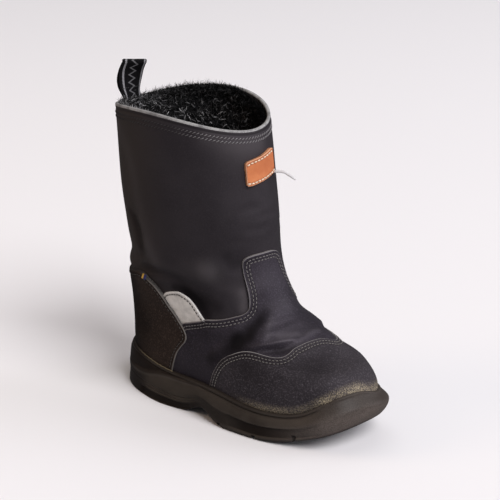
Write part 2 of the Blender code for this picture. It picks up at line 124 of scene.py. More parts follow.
def skin(angle, level):  # a point of the upper's outside; 0 degrees is the back, 90 the outer side
    angle, level = np.broadcast_arrays(np.asarray(angle, float), np.asarray(level, float))
    sizes = np.moveaxis(smoothRows(ringSizes, level), -1, 0)
    backX, backZ, frontX, frontZ, halfOut, halfIn, widest, frontPower, backPower = sizes[:9]
    waistOut, waistIn, swing, dip = sizes[9:]
    turn = np.radians(angle)
    share = (1 - np.cos(turn)) / 2
    ahead = np.clip((share - widest) / (1 - widest), 0, 1)
    behind = np.clip((widest - share) / widest, 0, 1)
    frontWidth = (1 - ahead**frontPower) ** (1 / frontPower)
    backWidth = (1 - behind**backPower) ** (1 / backPower)
    width = np.where(share > widest, frontWidth, backWidth)
    waist = bell(share, boot["waistCentre"], boot["waistSpread"])
    outer = -halfOut * width * (1 - waistOut * waist)
    inner = halfIn * width * (1 - waistIn * waist)
    swung = np.maximum((share - boot["swingFrom"]) / (1 - boot["swingFrom"]), 0) ** 2
    y = np.where(np.sin(turn) >= 0, outer, inner) + swing * swung
    x = backX + (frontX - backX) * share
    z = backZ + (frontZ - backZ) * share - dip * bell(share, boot["dipCentre"], boot["dipSpread"])
    rise = np.maximum((level - ankleLevel) / (topLevel - ankleLevel), 0) ** 2
    z = z + rise * (boot["collarTilt"] * np.cos(turn) - boot["collarWave"] * np.cos(2 * turn)
                    - boot["collarInnerDrop"] * np.maximum(-np.sin(turn), 0) ** 2)
    fromBack = np.abs((angle + 180) % 360 - 180)
    fold = boot["foldDepth"] * bell(level, boot["foldLevel"], boot["foldSpread"])
    fold = fold * (1 - smoothStep(fromBack, boot["foldHalfAngle"] / 2, boot["foldHalfAngle"]))
    return np.stack((x - fold * np.cos(turn), y - fold * np.sin(turn), z), -1)


def skinFrame(angle, level):  # the skin with its outward normal and its two tangents
    low, high = np.maximum(level - 0.05, 0), np.minimum(level + 0.05, topLevel)
    roundBoot = unit(skin(angle + 1, level) - skin(angle - 1, level))
    upBoot = unit(skin(angle, high) - skin(angle, low))
    return skin(angle, level), unit(np.cross(roundBoot, upBoot)), roundBoot, upBoot


# Creases and dents of the leather. A crease is a soft trough with a ridge on each side; a
# negative depth is a raised fold. Depth and width are millimetres.
leather = {
    "creases": (
        # depth width ridge path of (angle, level)
        (0.5, 9.0, 0.2, ((150, 5.42), (165, 5.52), (180, 5.55), (200, 5.48), (212, 5.35))),
        (0.8, 4.0, 0.4, ((96, 3.10), (101, 3.35), (107, 3.70), (112, 4.10))),
        (0.6, 3.0, 0.4, ((88, 2.10), (92, 2.50), (95, 3.00))),
        (1.0, 7.0, 0.2, ((209, 5.40), (219, 4.90), (231, 4.30), (243, 3.72), (251, 3.40))),
        (0.6, 4.0, 0.4, ((262, 3.05), (257, 3.40), (250, 3.80), (246, 4.20))),
        (1.2, 3.2, 0.5, ((48, 5.86), (60, 6.06), (71, 6.18), (87, 6.28), (100, 6.14), (111, 5.92))),
        (1.6, 4.2, 0.2, ((60, 7.9), (61, 7.72), (66, 7.44), (66, 6.98), (60, 6.7))),
        (0.35, 2.6, 0.4, ((150, 8.25), (163, 8.36), (176, 8.30))),
        (0.7, 8.0, 0.3, ((20, 6.45), (45, 6.62), (68, 6.55), (88, 6.35))),
        (0.5, 7.0, 0.4, ((276, 5.85), (262, 6.05), (246, 6.00), (232, 5.85))),
        (0.7, 8.0, 0.3, ((-20, 6.45), (-45, 6.60), (-66, 6.50), (-84, 6.30))),
        (0.30, 2.4, 0.4, ((150, 7.75), (162, 7.86), (174, 7.83), (186, 7.90))),
        (0.25, 2.2, 0.4, ((166, 8.05), (178, 8.12), (192, 8.08), (203, 8.14))),
        (0.25, 2.2, 0.4, ((140, 7.55), (150, 7.62), (158, 7.60))),
        (0.22, 2.0, 0.4, ((196, 7.62), (206, 7.70), (216, 7.66))),
        (0.45, 9.0, 0.3, ((70, 9.3), (66, 8.5), (60, 7.7), (52, 7.0))),
        (0.45, 9.0, 0.3, ((118, 9.2), (121, 8.5), (124, 7.8), (126, 7.1))),
        (0.35, 2.0, 0.4, ((128, 3.02), (140, 2.92), (152, 3.00))),
        (0.30, 1.8, 0.4, ((146, 3.22), (158, 3.36), (171, 3.42))),
        (0.28, 2.2, 0.4, ((98, 1.55), (103, 1.95), (109, 2.30))),
    ),
    "vampCreases": (
        (1.3, 4.0, 0.0, ((156, 5.44), (150.5, 5.26), (143, 4.98), (136, 4.70), (124, 4.06),
                         (111.5, 3.50), (100, 2.7))),
        (-0.9, 4.0, 0.0, ((168, 5.36), (162, 5.18), (150, 4.72), (137, 4.12), (128, 3.76))),
        (-1.1, 1.5, 0.0, ((114, 3.50), (124, 3.64), (134, 3.82), (145, 4.00), (154, 4.09), (163.5, 4.12),
                          (176, 4.16))),
        (2.0, 2.9, 0.0, ((126, 3.52), (133, 3.60), (139, 3.66), (145, 3.72), (152, 3.82), (160, 3.92))),
        (-1.1, 2.2, 0.0, ((168, 4.16), (176, 4.22), (186, 4.20), (196, 4.06))),
        (0.28, 1.6, 0.4, ((140, 4.22), (150, 4.30), (164, 4.42))),
        (0.22, 1.5, 0.4, ((150, 4.42), (164, 4.52), (180, 4.60))),
        (0.25, 1.8, 0.3, ((156, 4.74), (172, 4.86), (188, 4.80))),
        (0.25, 1.8, 0.3, ((150, 5.02), (160, 5.12), (172, 5.14))),
        (1.2, 3.6, 0.0, ((204, 4.04), (213, 3.82), (221, 3.62), (229, 3.56), (236, 3.52))),
        (-0.6, 2.4, 0.0, ((192, 4.26), (202, 4.18), (214, 4.02), (224, 3.84), (235, 3.72))),
    ),
    "tones": (
        # painted light and shade, lighter where the amount is positive and darker where it is negative:
        # amount, width in mm, path of (angle, level)
        (0.36, 8, ((136, 9.85), (150, 9.80), (165, 9.76), (180, 9.74))),
        (0.22, 14, ((148, 9.5), (164, 9.35))),
        (0.30, 8, ((52, 9.6), (66, 9.1), (70, 8.3), (76, 7.3), (82, 6.9))), (0.16, 7, ((76, 7.2), (80, 6.6))),
        (0.34, 6, ((123, 6.93), (128, 6.90))), (0.16, 8, ((106, 6.90), (118, 6.7))),
        (0.26, 7, ((126, 6.5), (130, 6.1))),
        (-0.45, 6, ((142, 7.28), (146, 7.05))), (-0.46, 4.2, ((56, 7.8), (62, 7.44), (64, 7.05))),
        (-0.60, 4.5, ((94, 5.80), (100, 5.78), (104, 5.62), (107.5, 5.32), (110, 4.95))),
        (-0.55, 8, ((106, 5.62), (114, 5.56), (123, 5.44))), (0.26, 7, ((143, 6.0), (142, 5.8), (141, 5.55))),
        (-0.42, 6.5, ((157, 5.28), (150, 5.06), (140, 4.70), (129, 4.18), (119, 3.80))),
        (-0.14, 8, ((160, 5.40), (168, 5.52), (176, 5.60))),
        (-0.32, 3.5, ((150, 5.02), (141, 4.70), (131, 4.26))), (-0.26, 5, ((132, 4.62), (125, 4.30))),
        (-0.60, 6.8, ((115, 3.70), (106.5, 3.16), (97, 2.36), (91, 1.95))),
        (-0.24, 3.2, ((140, 3.66), (147, 3.74), (153, 3.84))),
        (0.35, 3.0, ((137, 3.92), (147, 4.06), (157, 4.12))),
        (0.30, 8, ((156, 4.40), (168, 4.52), (180, 4.60))),
        (0.28, 3.0, ((168, 4.16), (178, 4.20), (188, 4.14))), (0.18, 9, ((164, 6.1), (165, 6.8))),
        (-0.33, 13, ((118, 2.75), (130, 2.90), (146, 3.00), (160, 3.14), (176, 3.25))),
        (-0.15, 10, ((150, 2.2), (158, 2.5))), (-0.15, 9, ((108, 2.3), (114, 1.7))),
        (-0.22, 12, ((40, 3.2), (42, 2.2), (46, 1.5))),
        (-0.22, 5, ((95, 3.8), (97, 3.6))), (0.42, 3.4, ((147, 5.95), (146.5, 5.75), (143, 5.44))),
        (0.34, 2.6, ((152, 4.34), (158, 4.36), (166, 4.31))), (-0.22, 2.4, ((156, 3.98), (165, 3.95))),
    ),
    "dents": (
        # angle level radius height
        (150, 2.30, 10, -0.5), (196, 2.20, 9, -0.4), (172, 3.00, 12, 0.5), (120, 2.20, 12, 0.4),
        (88, 6.80, 12, 0.9), (124, 6.90, 8, 1.9), (111, 6.88, 9, 1.0), (134, 6.75, 10, 1.0),
        (100, 5.9, 7, -0.8), (112, 5.5, 8, -1.3),
        (150, 7.05, 6, -1.1), (159, 9.5, 11, 0.9), (178, 9.6, 10, 0.6), (44, 2.2, 11, -1.2),
        (60, 1.6, 9, -0.6), (152, 3.1, 13, -0.9), (172, 3.35, 12, -0.9), (75, 7.9, 20, -0.6),
        (40, 8.4, 22, 0.6), (136, 8.3, 20, 0.5),
        (25, 4.2, 14, 0.4), (55, 3.2, 12, -0.4), (-30, 4.0, 14, 0.4), (250, 7.6, 22, -0.6),
        (300, 8.5, 22, 0.5), (165, 6.2, 12, 0.5),
        (95, 9.5, 14, -0.4), (200, 9.4, 15, 0.4),
    ),
}


def paintedLightOf(angle, level):  # painted light and shade: lighter and darker places, shares painted on over the colour
    place = skin(angle, level)
    points = place.reshape(-1, 3)
    toneAndPaintedLight = np.zeros(len(points))
    for amount, width, path in leather["tones"]:
        line = np.array(path, float)
        if len(path) > 1:
            line = smoothRows(path, np.linspace(0, len(path) - 1, 8 * len(path)))
        line = skin(line[:, 0], line[:, 1])
        reach = width * 0.003
        near = np.all((points > line.min(0) - reach) & (points < line.max(0) + reach), axis=1)
        if near.any():
            gap = np.linalg.norm(points[near, None] - line[None], axis=2).min(1) / (width / 1000)
            toneAndPaintedLight[near] += amount * np.exp(-(gap**2))
    return toneAndPaintedLight.reshape(place.shape[:-1])


creaseMarks = 36  # points along a crease


def relief(angle, level, more=()):  # metres that the leather stands out of the plain form
    place = skin(angle, level)
    shape = place.shape[:-1]
    points = place.reshape(-1, 3)
    height = np.zeros(len(points))
    for depth, width, ridge, path in leather["creases"] + tuple(more):
        line = smoothRows(path, np.linspace(0, len(path) - 1, creaseMarks))
        line = skin(line[:, 0], line[:, 1])
        width = width / 1000
        reach = width * 4
        near = np.all((points > line.min(0) - reach) & (points < line.max(0) + reach), axis=1)
        if not near.any():
            continue
        gaps = np.linalg.norm(points[near, None] - line[None], axis=2)
        nearest = gaps.argmin(1)
        gap = gaps.min(1) / width
        taper = np.sin(np.pi * np.clip(nearest / (creaseMarks - 1), 0.03, 0.97)) ** 0.7
        wave = -np.exp(-(gap**2)) + ridge * np.exp(-(((gap - 1.9) / 0.9) ** 2))
        height[near] += depth / 1000 * taper * wave
    for angleAt, levelAt, radius, rise in leather["dents"]:
        gap = np.linalg.norm(points - skin(angleAt, levelAt), axis=1) / (radius / 1000)
        height += rise / 1000 * np.exp(-(gap**2))
    return height.reshape(shape)


# The sole's rim and underside
soleForm = {
    "rim": ((-17.7, 15.0), (0.0, 13.3), (12.0, 12.5), (34.0, 12.6), (50.0, 10.7), (61.8, 10.85),
            (69.0, 12.75), (75.8, 17.0), (78.8, 19.0), (82.2, 19.9)),  # percent of length, of height
    "innerToe": ((0.130, 0.150), (-0.006, 0.016), 0.0058),  # x, y, drop
    "arch": (0.050, 0.011, 0.0068),  # x, spread, rise
    "toeSpring": (0.092, 0.066, 0.0173, 1.9),  # x, length, rise, power
    "heelBevel": (0.025, 0.038, 0.0008),  # from, to, rise
    "zones": ((0.008, 0.046), (0.046, 0.072), (0.112, 0.138)),  # heel to waist to ball to toe
    "bed": 0.0006,
}


def rimHeight(x, y):
    alongToe, acrossToe, drop = soleForm["innerToe"]
    drop = drop * smoothStep(x, *alongToe) * smoothStep(y, *acrossToe)
    return lineValue(soleForm["rim"], x / percent[0]) * percent[1] - drop


def rimLevel(angle):
    angle = np.asarray(angle, float)
    low, high = np.zeros(angle.shape), np.full(angle.shape, 2.0)
    for _ in range(24):
        middle = (low + high) / 2
        point = skin(angle, middle)
        under = point[..., 2] < rimHeight(point[..., 0], point[..., 1])
        low, high = np.where(under, middle, low), np.where(under, high, middle)
    return low


def rimOutward(angle):
    along = skin(angle + 1.5, rimLevel(angle + 1.5)) - skin(angle - 1.5, rimLevel(angle - 1.5))
    return unit(np.stack((along[..., 1], -along[..., 0], np.zeros(along.shape[:-1])), -1))


def underside(x):
    springX, springLength, springRise, springPower = soleForm["toeSpring"]
    archX, archSpread, archRise = soleForm["arch"]
    bevelFrom, bevelTo, bevelRise = soleForm["heelBevel"]
    toe = np.maximum((x - springX) / springLength, 0) ** springPower * springRise
    arch = archRise * bell(x, archX, archSpread)
    heel = smoothStep(-x, bevelFrom, bevelTo) * bevelRise
    return toe + heel + np.where(arch > 0.0002, arch, 0)


def zoned(x, row):  # a wall size at x from its heel, waist, ball and toe values
    value = np.full(np.shape(x), float(row[0]))
    for (low, high), first, second in zip(soleForm["zones"], row, row[1:]):
        value = value + (second - first) * smoothStep(x, low, high)
    return value


# Meshes from grids of points
def gridFaces(rowCount, columnCount, closed=False, start=0):
    j, i = np.meshgrid(np.arange(rowCount - 1), np.arange(columnCount if closed else columnCount - 1),
                       indexing="ij")
    right = (i + 1) % columnCount
    corners = (j * columnCount + i, j * columnCount + right, (j + 1) * columnCount + right,
               (j + 1) * columnCount + i)
    return start + np.stack(corners, -1).reshape(-1, 4)


def newObject(name, data):
    made = bpy.data.objects.new(name, data)
    bpy.context.scene.collection.objects.link(made)
    return made


def makePiece(name, points, faces, finishes, finishOf=None, values=None, sharp=None):
    mesh = bpy.data.meshes.new(name)
    mesh.from_pydata(np.asarray(points).tolist(), [], [list(map(int, face)) for face in faces])
    for finish in finishes:
        mesh.materials.append(finish)
    if finishOf is not None:
        mesh.polygons.foreach_set("material_index", np.asarray(finishOf, dtype=np.int32))
    for key, value in (values or {}).items():
        layer = mesh.attributes.new(key, "FLOAT", "POINT")
        layer.data.foreach_set("value", np.asarray(value, dtype=np.float32))
    mesh.shade_smooth()
    if sharp:
        mesh.set_sharp_from_angle(angle=math.radians(sharp))
    mesh.update()
    piece = newObject(name, mesh)
    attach(piece, "root")
    return piece


def surfaceOf(piece):
    mesh = piece.data
    points = [vertex.co.copy() for vertex in mesh.vertices]
    return BVHTree.FromPolygons(points, [tuple(face.vertices) for face in mesh.polygons])


def settle(surface, points):  # moves points onto a surface, and gives its normals there
    places, normals = [], []
    for point in points:
        place, normal, _, _ = surface.find_nearest(Vector(point))
        places.append(place)
        normals.append(normal)
    return np.array(places), np.array(normals)


def evenPath(points, pitch):  # points a pitch apart along a path
    steps = np.concatenate(([0], np.cumsum(np.linalg.norm(np.diff(points, axis=0), axis=1))))
    count = max(int(round(steps[-1] / pitch)), 1)
    marks = np.linspace(0, steps[-1], count + 1)
    return np.stack([np.interp(marks, steps, points[:, k]) for k in range(3)], -1)


def tubeAlong(points, normals, radii, sides=6, start=0):  # rings of a tube and its faces
    along = unit(np.gradient(points, axis=0))
    across = unit(np.cross(along, normals))
    up = np.cross(across, along)
    turns = np.arange(sides) * 2 * np.pi / sides
    ring = np.cos(turns)[None, :, None] * across[:, None] + np.sin(turns)[None, :, None] * up[:, None]
    tube = (points[:, None] + ring * np.asarray(radii)[:, None, None]).reshape(-1, 3)
    faces = gridFaces(len(points), sides, closed=True, start=start).tolist()
    faces.append(list(range(start, start + sides))[::-1])
    faces.append(list(range(start + sides * (len(points) - 1), start + sides * len(points))))
    return tube, faces


# Finishes. Shared effects are node groups that put out masks and heights.
def newGroup(name, inputs, outputs):
    group = bpy.data.node_groups.new(name, "ShaderNodeTree")
    for label, kind, value in inputs:
        socket = group.interface.new_socket(label, in_out="INPUT", socket_type=f"NodeSocket{kind}")
        socket.default_value = value
    for label, kind in outputs:
        group.interface.new_socket(label, in_out="OUTPUT", socket_type=f"NodeSocket{kind}")
    return group, group.nodes.new("NodeGroupInput"), group.nodes.new("NodeGroupOutput")


def node(tree, kind, links=None, **settings):  # links: input name or number to socket or value
    made = tree.nodes.new(f"ShaderNode{kind}")
    for key, value in settings.items():
        setattr(made, key, value)
    for key, value in (links or {}).items():
        socket = made.inputs[key]
        if isinstance(value, bpy.types.NodeSocket):
            tree.links.new(value, socket)
        else:
            socket.default_value = value
    return made


def mathNode(tree, operation, first, second=0.0):
    return node(tree, "Math", {0: first, 1: second}, operation=operation).outputs[0]


def spread(tree, value, fromLow, fromHigh, toLow=0.0, toHigh=1.0):
    links = {"Value": value, 1: fromLow, 2: fromHigh, 3: toLow, 4: toHigh}
    return node(tree, "MapRange", links, interpolation_type="SMOOTHSTEP").outputs[0]


def times(tree, first, second):
    return mathNode(tree, "MULTIPLY", first, second)


def mixColor(tree, factor, first, second):  # colours as sockets or as three values
    first, second = [(*color, 1) if isinstance(color, tuple) else color for color in (first, second)]
    return node(tree, "Mix", {0: factor, 6: first, 7: second}, data_type="RGBA").outputs[2]


def ownPlace(tree):
    return node(tree, "TexCoord").outputs["Object"]


def noise(tree, coords, scale, detail, roughness=0.5, distortion=0.0):
    links = {"Vector": coords, "Scale": scale, "Detail": detail, "Roughness": roughness,
             "Distortion": distortion}
    return node(tree, "TexNoise", links).outputs["Fac"]


def grainGroup():  # pebbled grain of hide with its pores
    group, given, put = newGroup(
        "HideGrain", (("Scale", "Float", 700.0), ("Pores", "Float", 0.4)),
        (("Height", "Float"), ("Cloud", "Float")),
    )
    coords = ownPlace(group)
    bent = node(group, "TexNoise", {"Vector": coords, "Scale": 260.0, "Detail": 2.0})
    shifted = node(group, "VectorMath", {0: bent.outputs["Color"], 1: (0.0022, 0.0022, 0.0022)},
                   operation="MULTIPLY").outputs[0]
    moved = node(group, "VectorMath", {0: coords, 1: shifted}, operation="ADD").outputs[0]
    cells = node(group, "TexVoronoi", {"Vector": moved, "Scale": given.outputs["Scale"]},
                 feature="SMOOTH_F1")
    pebble = spread(group, cells.outputs["Distance"], 0.1, 0.75, 1.0, 0.0)
    fine = noise(group, coords, 3400.0, 3.0)
    pores = times(group, fine, given.outputs["Pores"])
    height = mathNode(group, "ADD", pebble, pores)
    group.links.new(height, put.inputs["Height"])
    group.links.new(noise(group, coords, 26.0, 4.0, 0.6), put.inputs["Cloud"])
    return group


def scuffGroup():  # short rubs and scratches that run mostly one way
    group, given, put = newGroup(
        "Scuffs", (("Scale", "Float", 90.0), ("Cover", "Float", 0.5)), (("Mask", "Float"),),
    )
    coords = ownPlace(group)
    pulled = node(group, "Mapping", {"Vector": coords, "Scale": (1.0, 1.6, 4.0),
                                     "Rotation": (0.2, 0.5, 0.3)}).outputs[0]
    rubs = noise(group, pulled, given.outputs["Scale"], 6.0, 0.72)
    limit = mathNode(group, "SUBTRACT", 0.95, times(group, given.outputs["Cover"], 0.5))
    high = mathNode(group, "ADD", limit, 0.12)
    mask = spread(group, rubs, limit, high)
    group.links.new(mask, put.inputs["Mask"])
    return group


def dustGroup():  # settled dust between two heights, broken up by a speckle
    group, given, put = newGroup(
        "Dust", (("Height", "Float", 0.0), ("Full", "Float", 0.0), ("Gone", "Float", 1.0),
                 ("Speckle", "Float", 900.0)), (("Mask", "Float"),),
    )
    coords = ownPlace(group)
    speck = noise(group, coords, given.outputs["Speckle"], 4.0, 0.7)
    broad = noise(group, coords, 70.0, 3.0)
    layer = spread(group, given.outputs["Height"], given.outputs["Full"], given.outputs["Gone"], 1.0, 0.0)
    grains = spread(group, speck, 0.42, 0.62)
    patches = spread(group, broad, 0.34, 0.62, 0.35, 1.0)
    mask = times(group, layer, times(group, grains, patches))
    group.links.new(mask, put.inputs["Mask"])
    return group


def seamGroup():  # a groove pressed by a row of stitches at a distance from the edge, in mm
    group, given, put = newGroup(
        "SeamGroove", (("Edge", "Float", 0.0), ("Row", "Float", 2.5), ("Width", "Float", 0.7)),
        (("Dip", "Float"),),
    )
    off = mathNode(group, "SUBTRACT", given.outputs["Edge"], given.outputs["Row"])
    off = mathNode(group, "DIVIDE", off, given.outputs["Width"])
    square = times(group, off, off)
    dip = mathNode(group, "POWER", math.e, times(group, square, -1.0))
    group.links.new(dip, put.inputs["Dip"])
    return group


grain, scuffs, dust, seam = grainGroup(), scuffGroup(), dustGroup(), seamGroup()


def place(tree, group, **values):
    made = tree.nodes.new("ShaderNodeGroup")
    made.node_tree = group
    for key, value in values.items():
        if isinstance(value, bpy.types.NodeSocket):
            tree.links.new(value, made.inputs[key])
        else:
            made.inputs[key].default_value = value
    return made


def newFinish(name, color, roughness, gloss=0.3, **sockets):
    finish = bpy.data.materials.new(name)
    finish.use_nodes = True
    shader = finish.node_tree.nodes["Principled BSDF"]
    shader.inputs["Base Color"].default_value = (*color, 1)
    shader.inputs["Roughness"].default_value = roughness
    shader.inputs["Specular IOR Level"].default_value = gloss
    for key, value in sockets.items():
        shader.inputs[key.replace("_", " ")].default_value = value
    finish.diffuse_color = (*color, 1)
    return finish, finish.node_tree, shader


def bumpOn(tree, shader, height, strength, distance):
    made = node(tree, "Bump", {"Height": height, "Strength": strength, "Distance": distance})
    tree.links.new(made.outputs[0], shader.inputs["Normal"])


def attributeOf(tree, name):
    return node(tree, "Attribute", attribute_name=name).outputs["Fac"]


def forwardOf(tree, coords):  # metres along the boot, toward the toe
    return node(tree, "SeparateXYZ", {0: coords}).outputs["X"]


# painted shade: what the deep creases and the darkest tones go to
paintedHollowShadeShare, paintedHollowShade = 0.4, (0.0030, 0.0022, 0.0024)
paintedShadeColor = (0.0010, 0.0006, 0.0008)


def leatherFinish(name, look):
    finish, tree, shader = newFinish(name, look["color"], look["roughness"], look["gloss"],
                                     Specular_Tint=(1.0, 0.90, 0.99, 1.0))
    coords = ownPlace(tree)
    ahead = forwardOf(tree, coords)
    hide = place(tree, grain, Scale=look["grainScale"], Pores=look["pores"])
    rubs = place(tree, scuffs, Scale=look["scuffScale"], Cover=look["scuffCover"])
    color = mixColor(tree, spread(tree, hide.outputs["Cloud"], 0.3, 0.7), look["color"],
                     look["cloudColor"])
    flecks = noise(tree, coords, look["fleckScale"], 3.0, 0.7)
    pale = tuple(look["fleck"] * c for c in look["cloudColor"])
    color = mixColor(tree, spread(tree, flecks, 0.48, 0.72), color, pale)
    form, toneAndPaintedLight = attributeOf(tree, "form"), attributeOf(tree, "toneAndPaintedLight")
    # painted highlight on raised folds, toward the scuff colour
    color = mixColor(tree, spread(tree, form, 0.15, 1.8, 0.0, 0.3), color, look["scuffAndHighlightColor"])
    # painted light toward the heel: a warm lighter cast on the leg, shade on the counter
    if look.get("back"):
        begin, full, share, paintedBackLightColor = look["back"]
        behind = spread(tree, ahead, begin, full, 0.0, share)
        color = mixColor(tree, behind, color, paintedBackLightColor)
    # painted highlight where the tones are positive
    color = mixColor(tree, spread(tree, toneAndPaintedLight, 0.0, 1.0), color, look["paintedHighlight"])
    worn = times(tree, rubs.outputs["Mask"], look["scuffTint"])
    color = mixColor(tree, worn, color, look["scuffAndHighlightColor"])
    # painted shade in the hollows of the relief
    color = mixColor(tree, spread(tree, form, -2.4, -0.1, paintedHollowShadeShare, 0.0), color, paintedHollowShade)
    # painted shade where the tones are negative
    color = mixColor(tree, spread(tree, toneAndPaintedLight, -1.0, 0.0, 1.0, 0.0), color, paintedShadeColor)
    edge = attributeOf(tree, "edge")
    edgeWear = times(tree, spread(tree, edge, 0.0, 0.6, 1.0, 0.0), look["edgeWear"])
    if look.get("edgeFade"):
        edgeWear = times(tree, edgeWear, spread(tree, ahead, *look["edgeFade"], 0.05, 1.0))
    color = mixColor(tree, edgeWear, color, look["edgeColor"])
    height = times(tree, hide.outputs["Height"], look["grainDepth"])
    # each stitch row's groove is darkened toward the seam colour: painted shade in the groove
    for row in look["seams"]:
        dip = place(tree, seam, Edge=edge, Row=row, Width=0.75).outputs["Dip"]
        height = mathNode(tree, "SUBTRACT", height, dip)
        shade = times(tree, dip, 0.45)
        color = mixColor(tree, shade, color, look["seamShadeColor"])
    if look.get("dust"):
        full, gone, speckle, begin, end = look["dust"]
        settled = place(tree, dust, Height=attributeOf(tree, "sole"), Full=full, Gone=gone, Speckle=speckle)
        amount = times(tree, settled.outputs["Mask"], spread(tree, ahead, begin, end))
        color = mixColor(tree, amount, color, look["dustColor"])
    tree.links.new(color, shader.inputs["Base Color"])
    rough = spread(tree, hide.outputs["Cloud"], 0.25, 0.75, look["roughness"] - 0.06,
                   look["roughness"] + 0.08)
    rough = mathNode(tree, "ADD", rough, times(tree, rubs.outputs["Mask"], 0.12))
    rough = mathNode(tree, "ADD", rough, spread(tree, toneAndPaintedLight, -0.7, -0.1, 0.40, 0.0))
    tree.links.new(rough, shader.inputs["Roughness"])
    bumpOn(tree, shader, height, look["bump"], 0.00035)
    return finish


# back: painted light toward the heel, a warm lighter cast on the leg and shade on the counter; where along
# the boot it begins and is full, its share and colour
# dust: heights in mm of full and of none, speckle, and where along the boot it begins and is full
leatherLooks = {
    "leg": {
        "color": (0.0155, 0.0130, 0.0152), "cloudColor": (0.0205, 0.0174, 0.0198),
        "roughness": 0.62, "gloss": 0.26, "grainScale": 1500.0, "pores": 0.5, "grainDepth": 0.16,
        "back": (0.032, -0.010, 0.8, (0.0310, 0.0240, 0.0195)),
        "paintedHighlight": (0.060, 0.053, 0.056), "fleckScale": 1100.0, "fleck": 1.15,
        "scuffScale": 60.0, "scuffCover": 0.35, "scuffTint": 0.20, "scuffAndHighlightColor": (0.035, 0.032, 0.032),
        "edgeWear": 0.0, "edgeColor": (0.05, 0.05, 0.05),
        "seams": (2.4,), "seamShadeColor": (0.004, 0.004, 0.004), "bump": 0.35,
    },
    "vamp": {
        "color": (0.0135, 0.0112, 0.0150), "cloudColor": (0.0200, 0.0168, 0.0225),
        "roughness": 0.48, "gloss": 0.25, "grainScale": 1300.0, "pores": 0.6, "grainDepth": 0.20,
        "paintedHighlight": (0.060, 0.053, 0.062), "fleckScale": 1050.0, "fleck": 2.2,
        "scuffScale": 80.0, "scuffCover": 0.45, "scuffTint": 0.30, "scuffAndHighlightColor": (0.050, 0.045, 0.048),
        "edgeWear": 0.85, "edgeColor": (0.170, 0.158, 0.160),
        "seams": (2.3, 4.3), "seamShadeColor": (0.006, 0.0055, 0.006), "bump": 0.40,
    },
    "cap": {
        "color": (0.0152, 0.0130, 0.0152), "cloudColor": (0.0258, 0.0224, 0.0254),
        "roughness": 0.64, "gloss": 0.22, "grainScale": 1000.0, "pores": 0.9, "grainDepth": 0.45,
        "paintedHighlight": (0.070, 0.062, 0.064), "fleckScale": 1100.0, "fleck": 2.8,
        "scuffScale": 110.0, "scuffCover": 0.62, "scuffTint": 0.42, "scuffAndHighlightColor": (0.062, 0.056, 0.054),
        "edgeWear": 0.90, "edgeColor": (0.220, 0.208, 0.202),
        "seams": (2.3, 4.3), "seamShadeColor": (0.007, 0.0065, 0.007), "bump": 0.55,
        "dust": (0.4, 7.4, 1500.0, 0.070, 0.112), "dustColor": (0.340, 0.285, 0.190),
    },
    "counter": {
        "color": (0.0196, 0.0134, 0.0106), "cloudColor": (0.0285, 0.0200, 0.0160),
        "roughness": 0.60, "gloss": 0.06, "grainScale": 1300.0, "pores": 0.6, "grainDepth": 0.22,
        "back": (0.004, -0.030, 0.9, (0.0050, 0.0032, 0.0025)),
        "paintedHighlight": (0.060, 0.048, 0.040), "fleckScale": 1000.0, "fleck": 2.1,
        "scuffScale": 70.0, "scuffCover": 0.45, "scuffTint": 0.25, "scuffAndHighlightColor": (0.045, 0.038, 0.032),
        "edgeWear": 0.80, "edgeColor": (0.150, 0.140, 0.130), "edgeFade": (-0.004, 0.016),
        "seams": (2.2,), "seamShadeColor": (0.005, 0.0045, 0.004), "bump": 0.45,
    },
}
legFinish = leatherFinish("legLeather", leatherLooks["leg"])
vampFinish = leatherFinish("vampLeather", leatherLooks["vamp"])
capFinish = leatherFinish("capLeather", leatherLooks["cap"])
counterFinish = leatherFinish("counterLeather", leatherLooks["counter"])


def cutEdgeFinish(name, color, second, fade=None):  # a cut or folded edge, darker behind the fade
    finish, tree, shader = newFinish(name, color, 0.75)
    coords = ownPlace(tree)
    fibres = noise(tree, coords, 1400.0, 4.0, 0.7)
    patches = noise(tree, coords, 120.0, 3.0)
    mixed = times(tree, fibres, spread(tree, patches, 0.3, 0.7, 0.7, 1.4))
    color = mixColor(tree, spread(tree, mixed, 0.3, 0.7), second, color)
    if fade:
        faded = spread(tree, forwardOf(tree, coords), *fade, 0.85, 0.0)
        color = mixColor(tree, faded, color, (0.016, 0.012, 0.011))
    tree.links.new(color, shader.inputs["Base Color"])
    bumpOn(tree, shader, fibres, 0.5, 0.0003)
    return finish


# the collar's cut edge is darker toward the back: painted shade on the far rim
collarEdge = cutEdgeFinish("collarCutEdge", (0.33, 0.325, 0.32), (0.15, 0.145, 0.145), (-0.20, 0.07))
vampEdge = cutEdgeFinish("vampCutEdge", (0.20, 0.18, 0.17), (0.060, 0.052, 0.050))
capEdge = cutEdgeFinish("capCutEdge", (0.26, 0.25, 0.24), (0.085, 0.080, 0.078))
counterEdge = cutEdgeFinish("counterFoldedEdge", (0.115, 0.108, 0.102), (0.036, 0.033, 0.031),
                            (-0.004, 0.012))
patchEdge = cutEdgeFinish("patchCutEdge", (0.46, 0.20, 0.09), (0.20, 0.075, 0.030))


def threadFinish(name, color, fade=None):  # twisted thread, darker behind the fade
    finish, tree, shader = newFinish(name, color, 0.6)
    coords = ownPlace(tree)
    twist = node(tree, "TexWave", {"Vector": coords, "Scale": 900.0, "Distortion": 3.0,
                                   "Detail": 1.0}).outputs["Fac"]
    dark = tuple(0.45 * c for c in color)
    color = mixColor(tree, twist, dark, color)
    if fade:
        faded = spread(tree, forwardOf(tree, coords), *fade, 0.9, 0.0)
        color = mixColor(tree, faded, color, (0.014, 0.012, 0.013))
    tree.links.new(color, shader.inputs["Base Color"])
    bumpOn(tree, shader, twist, 0.4, 0.0002)
    return finish


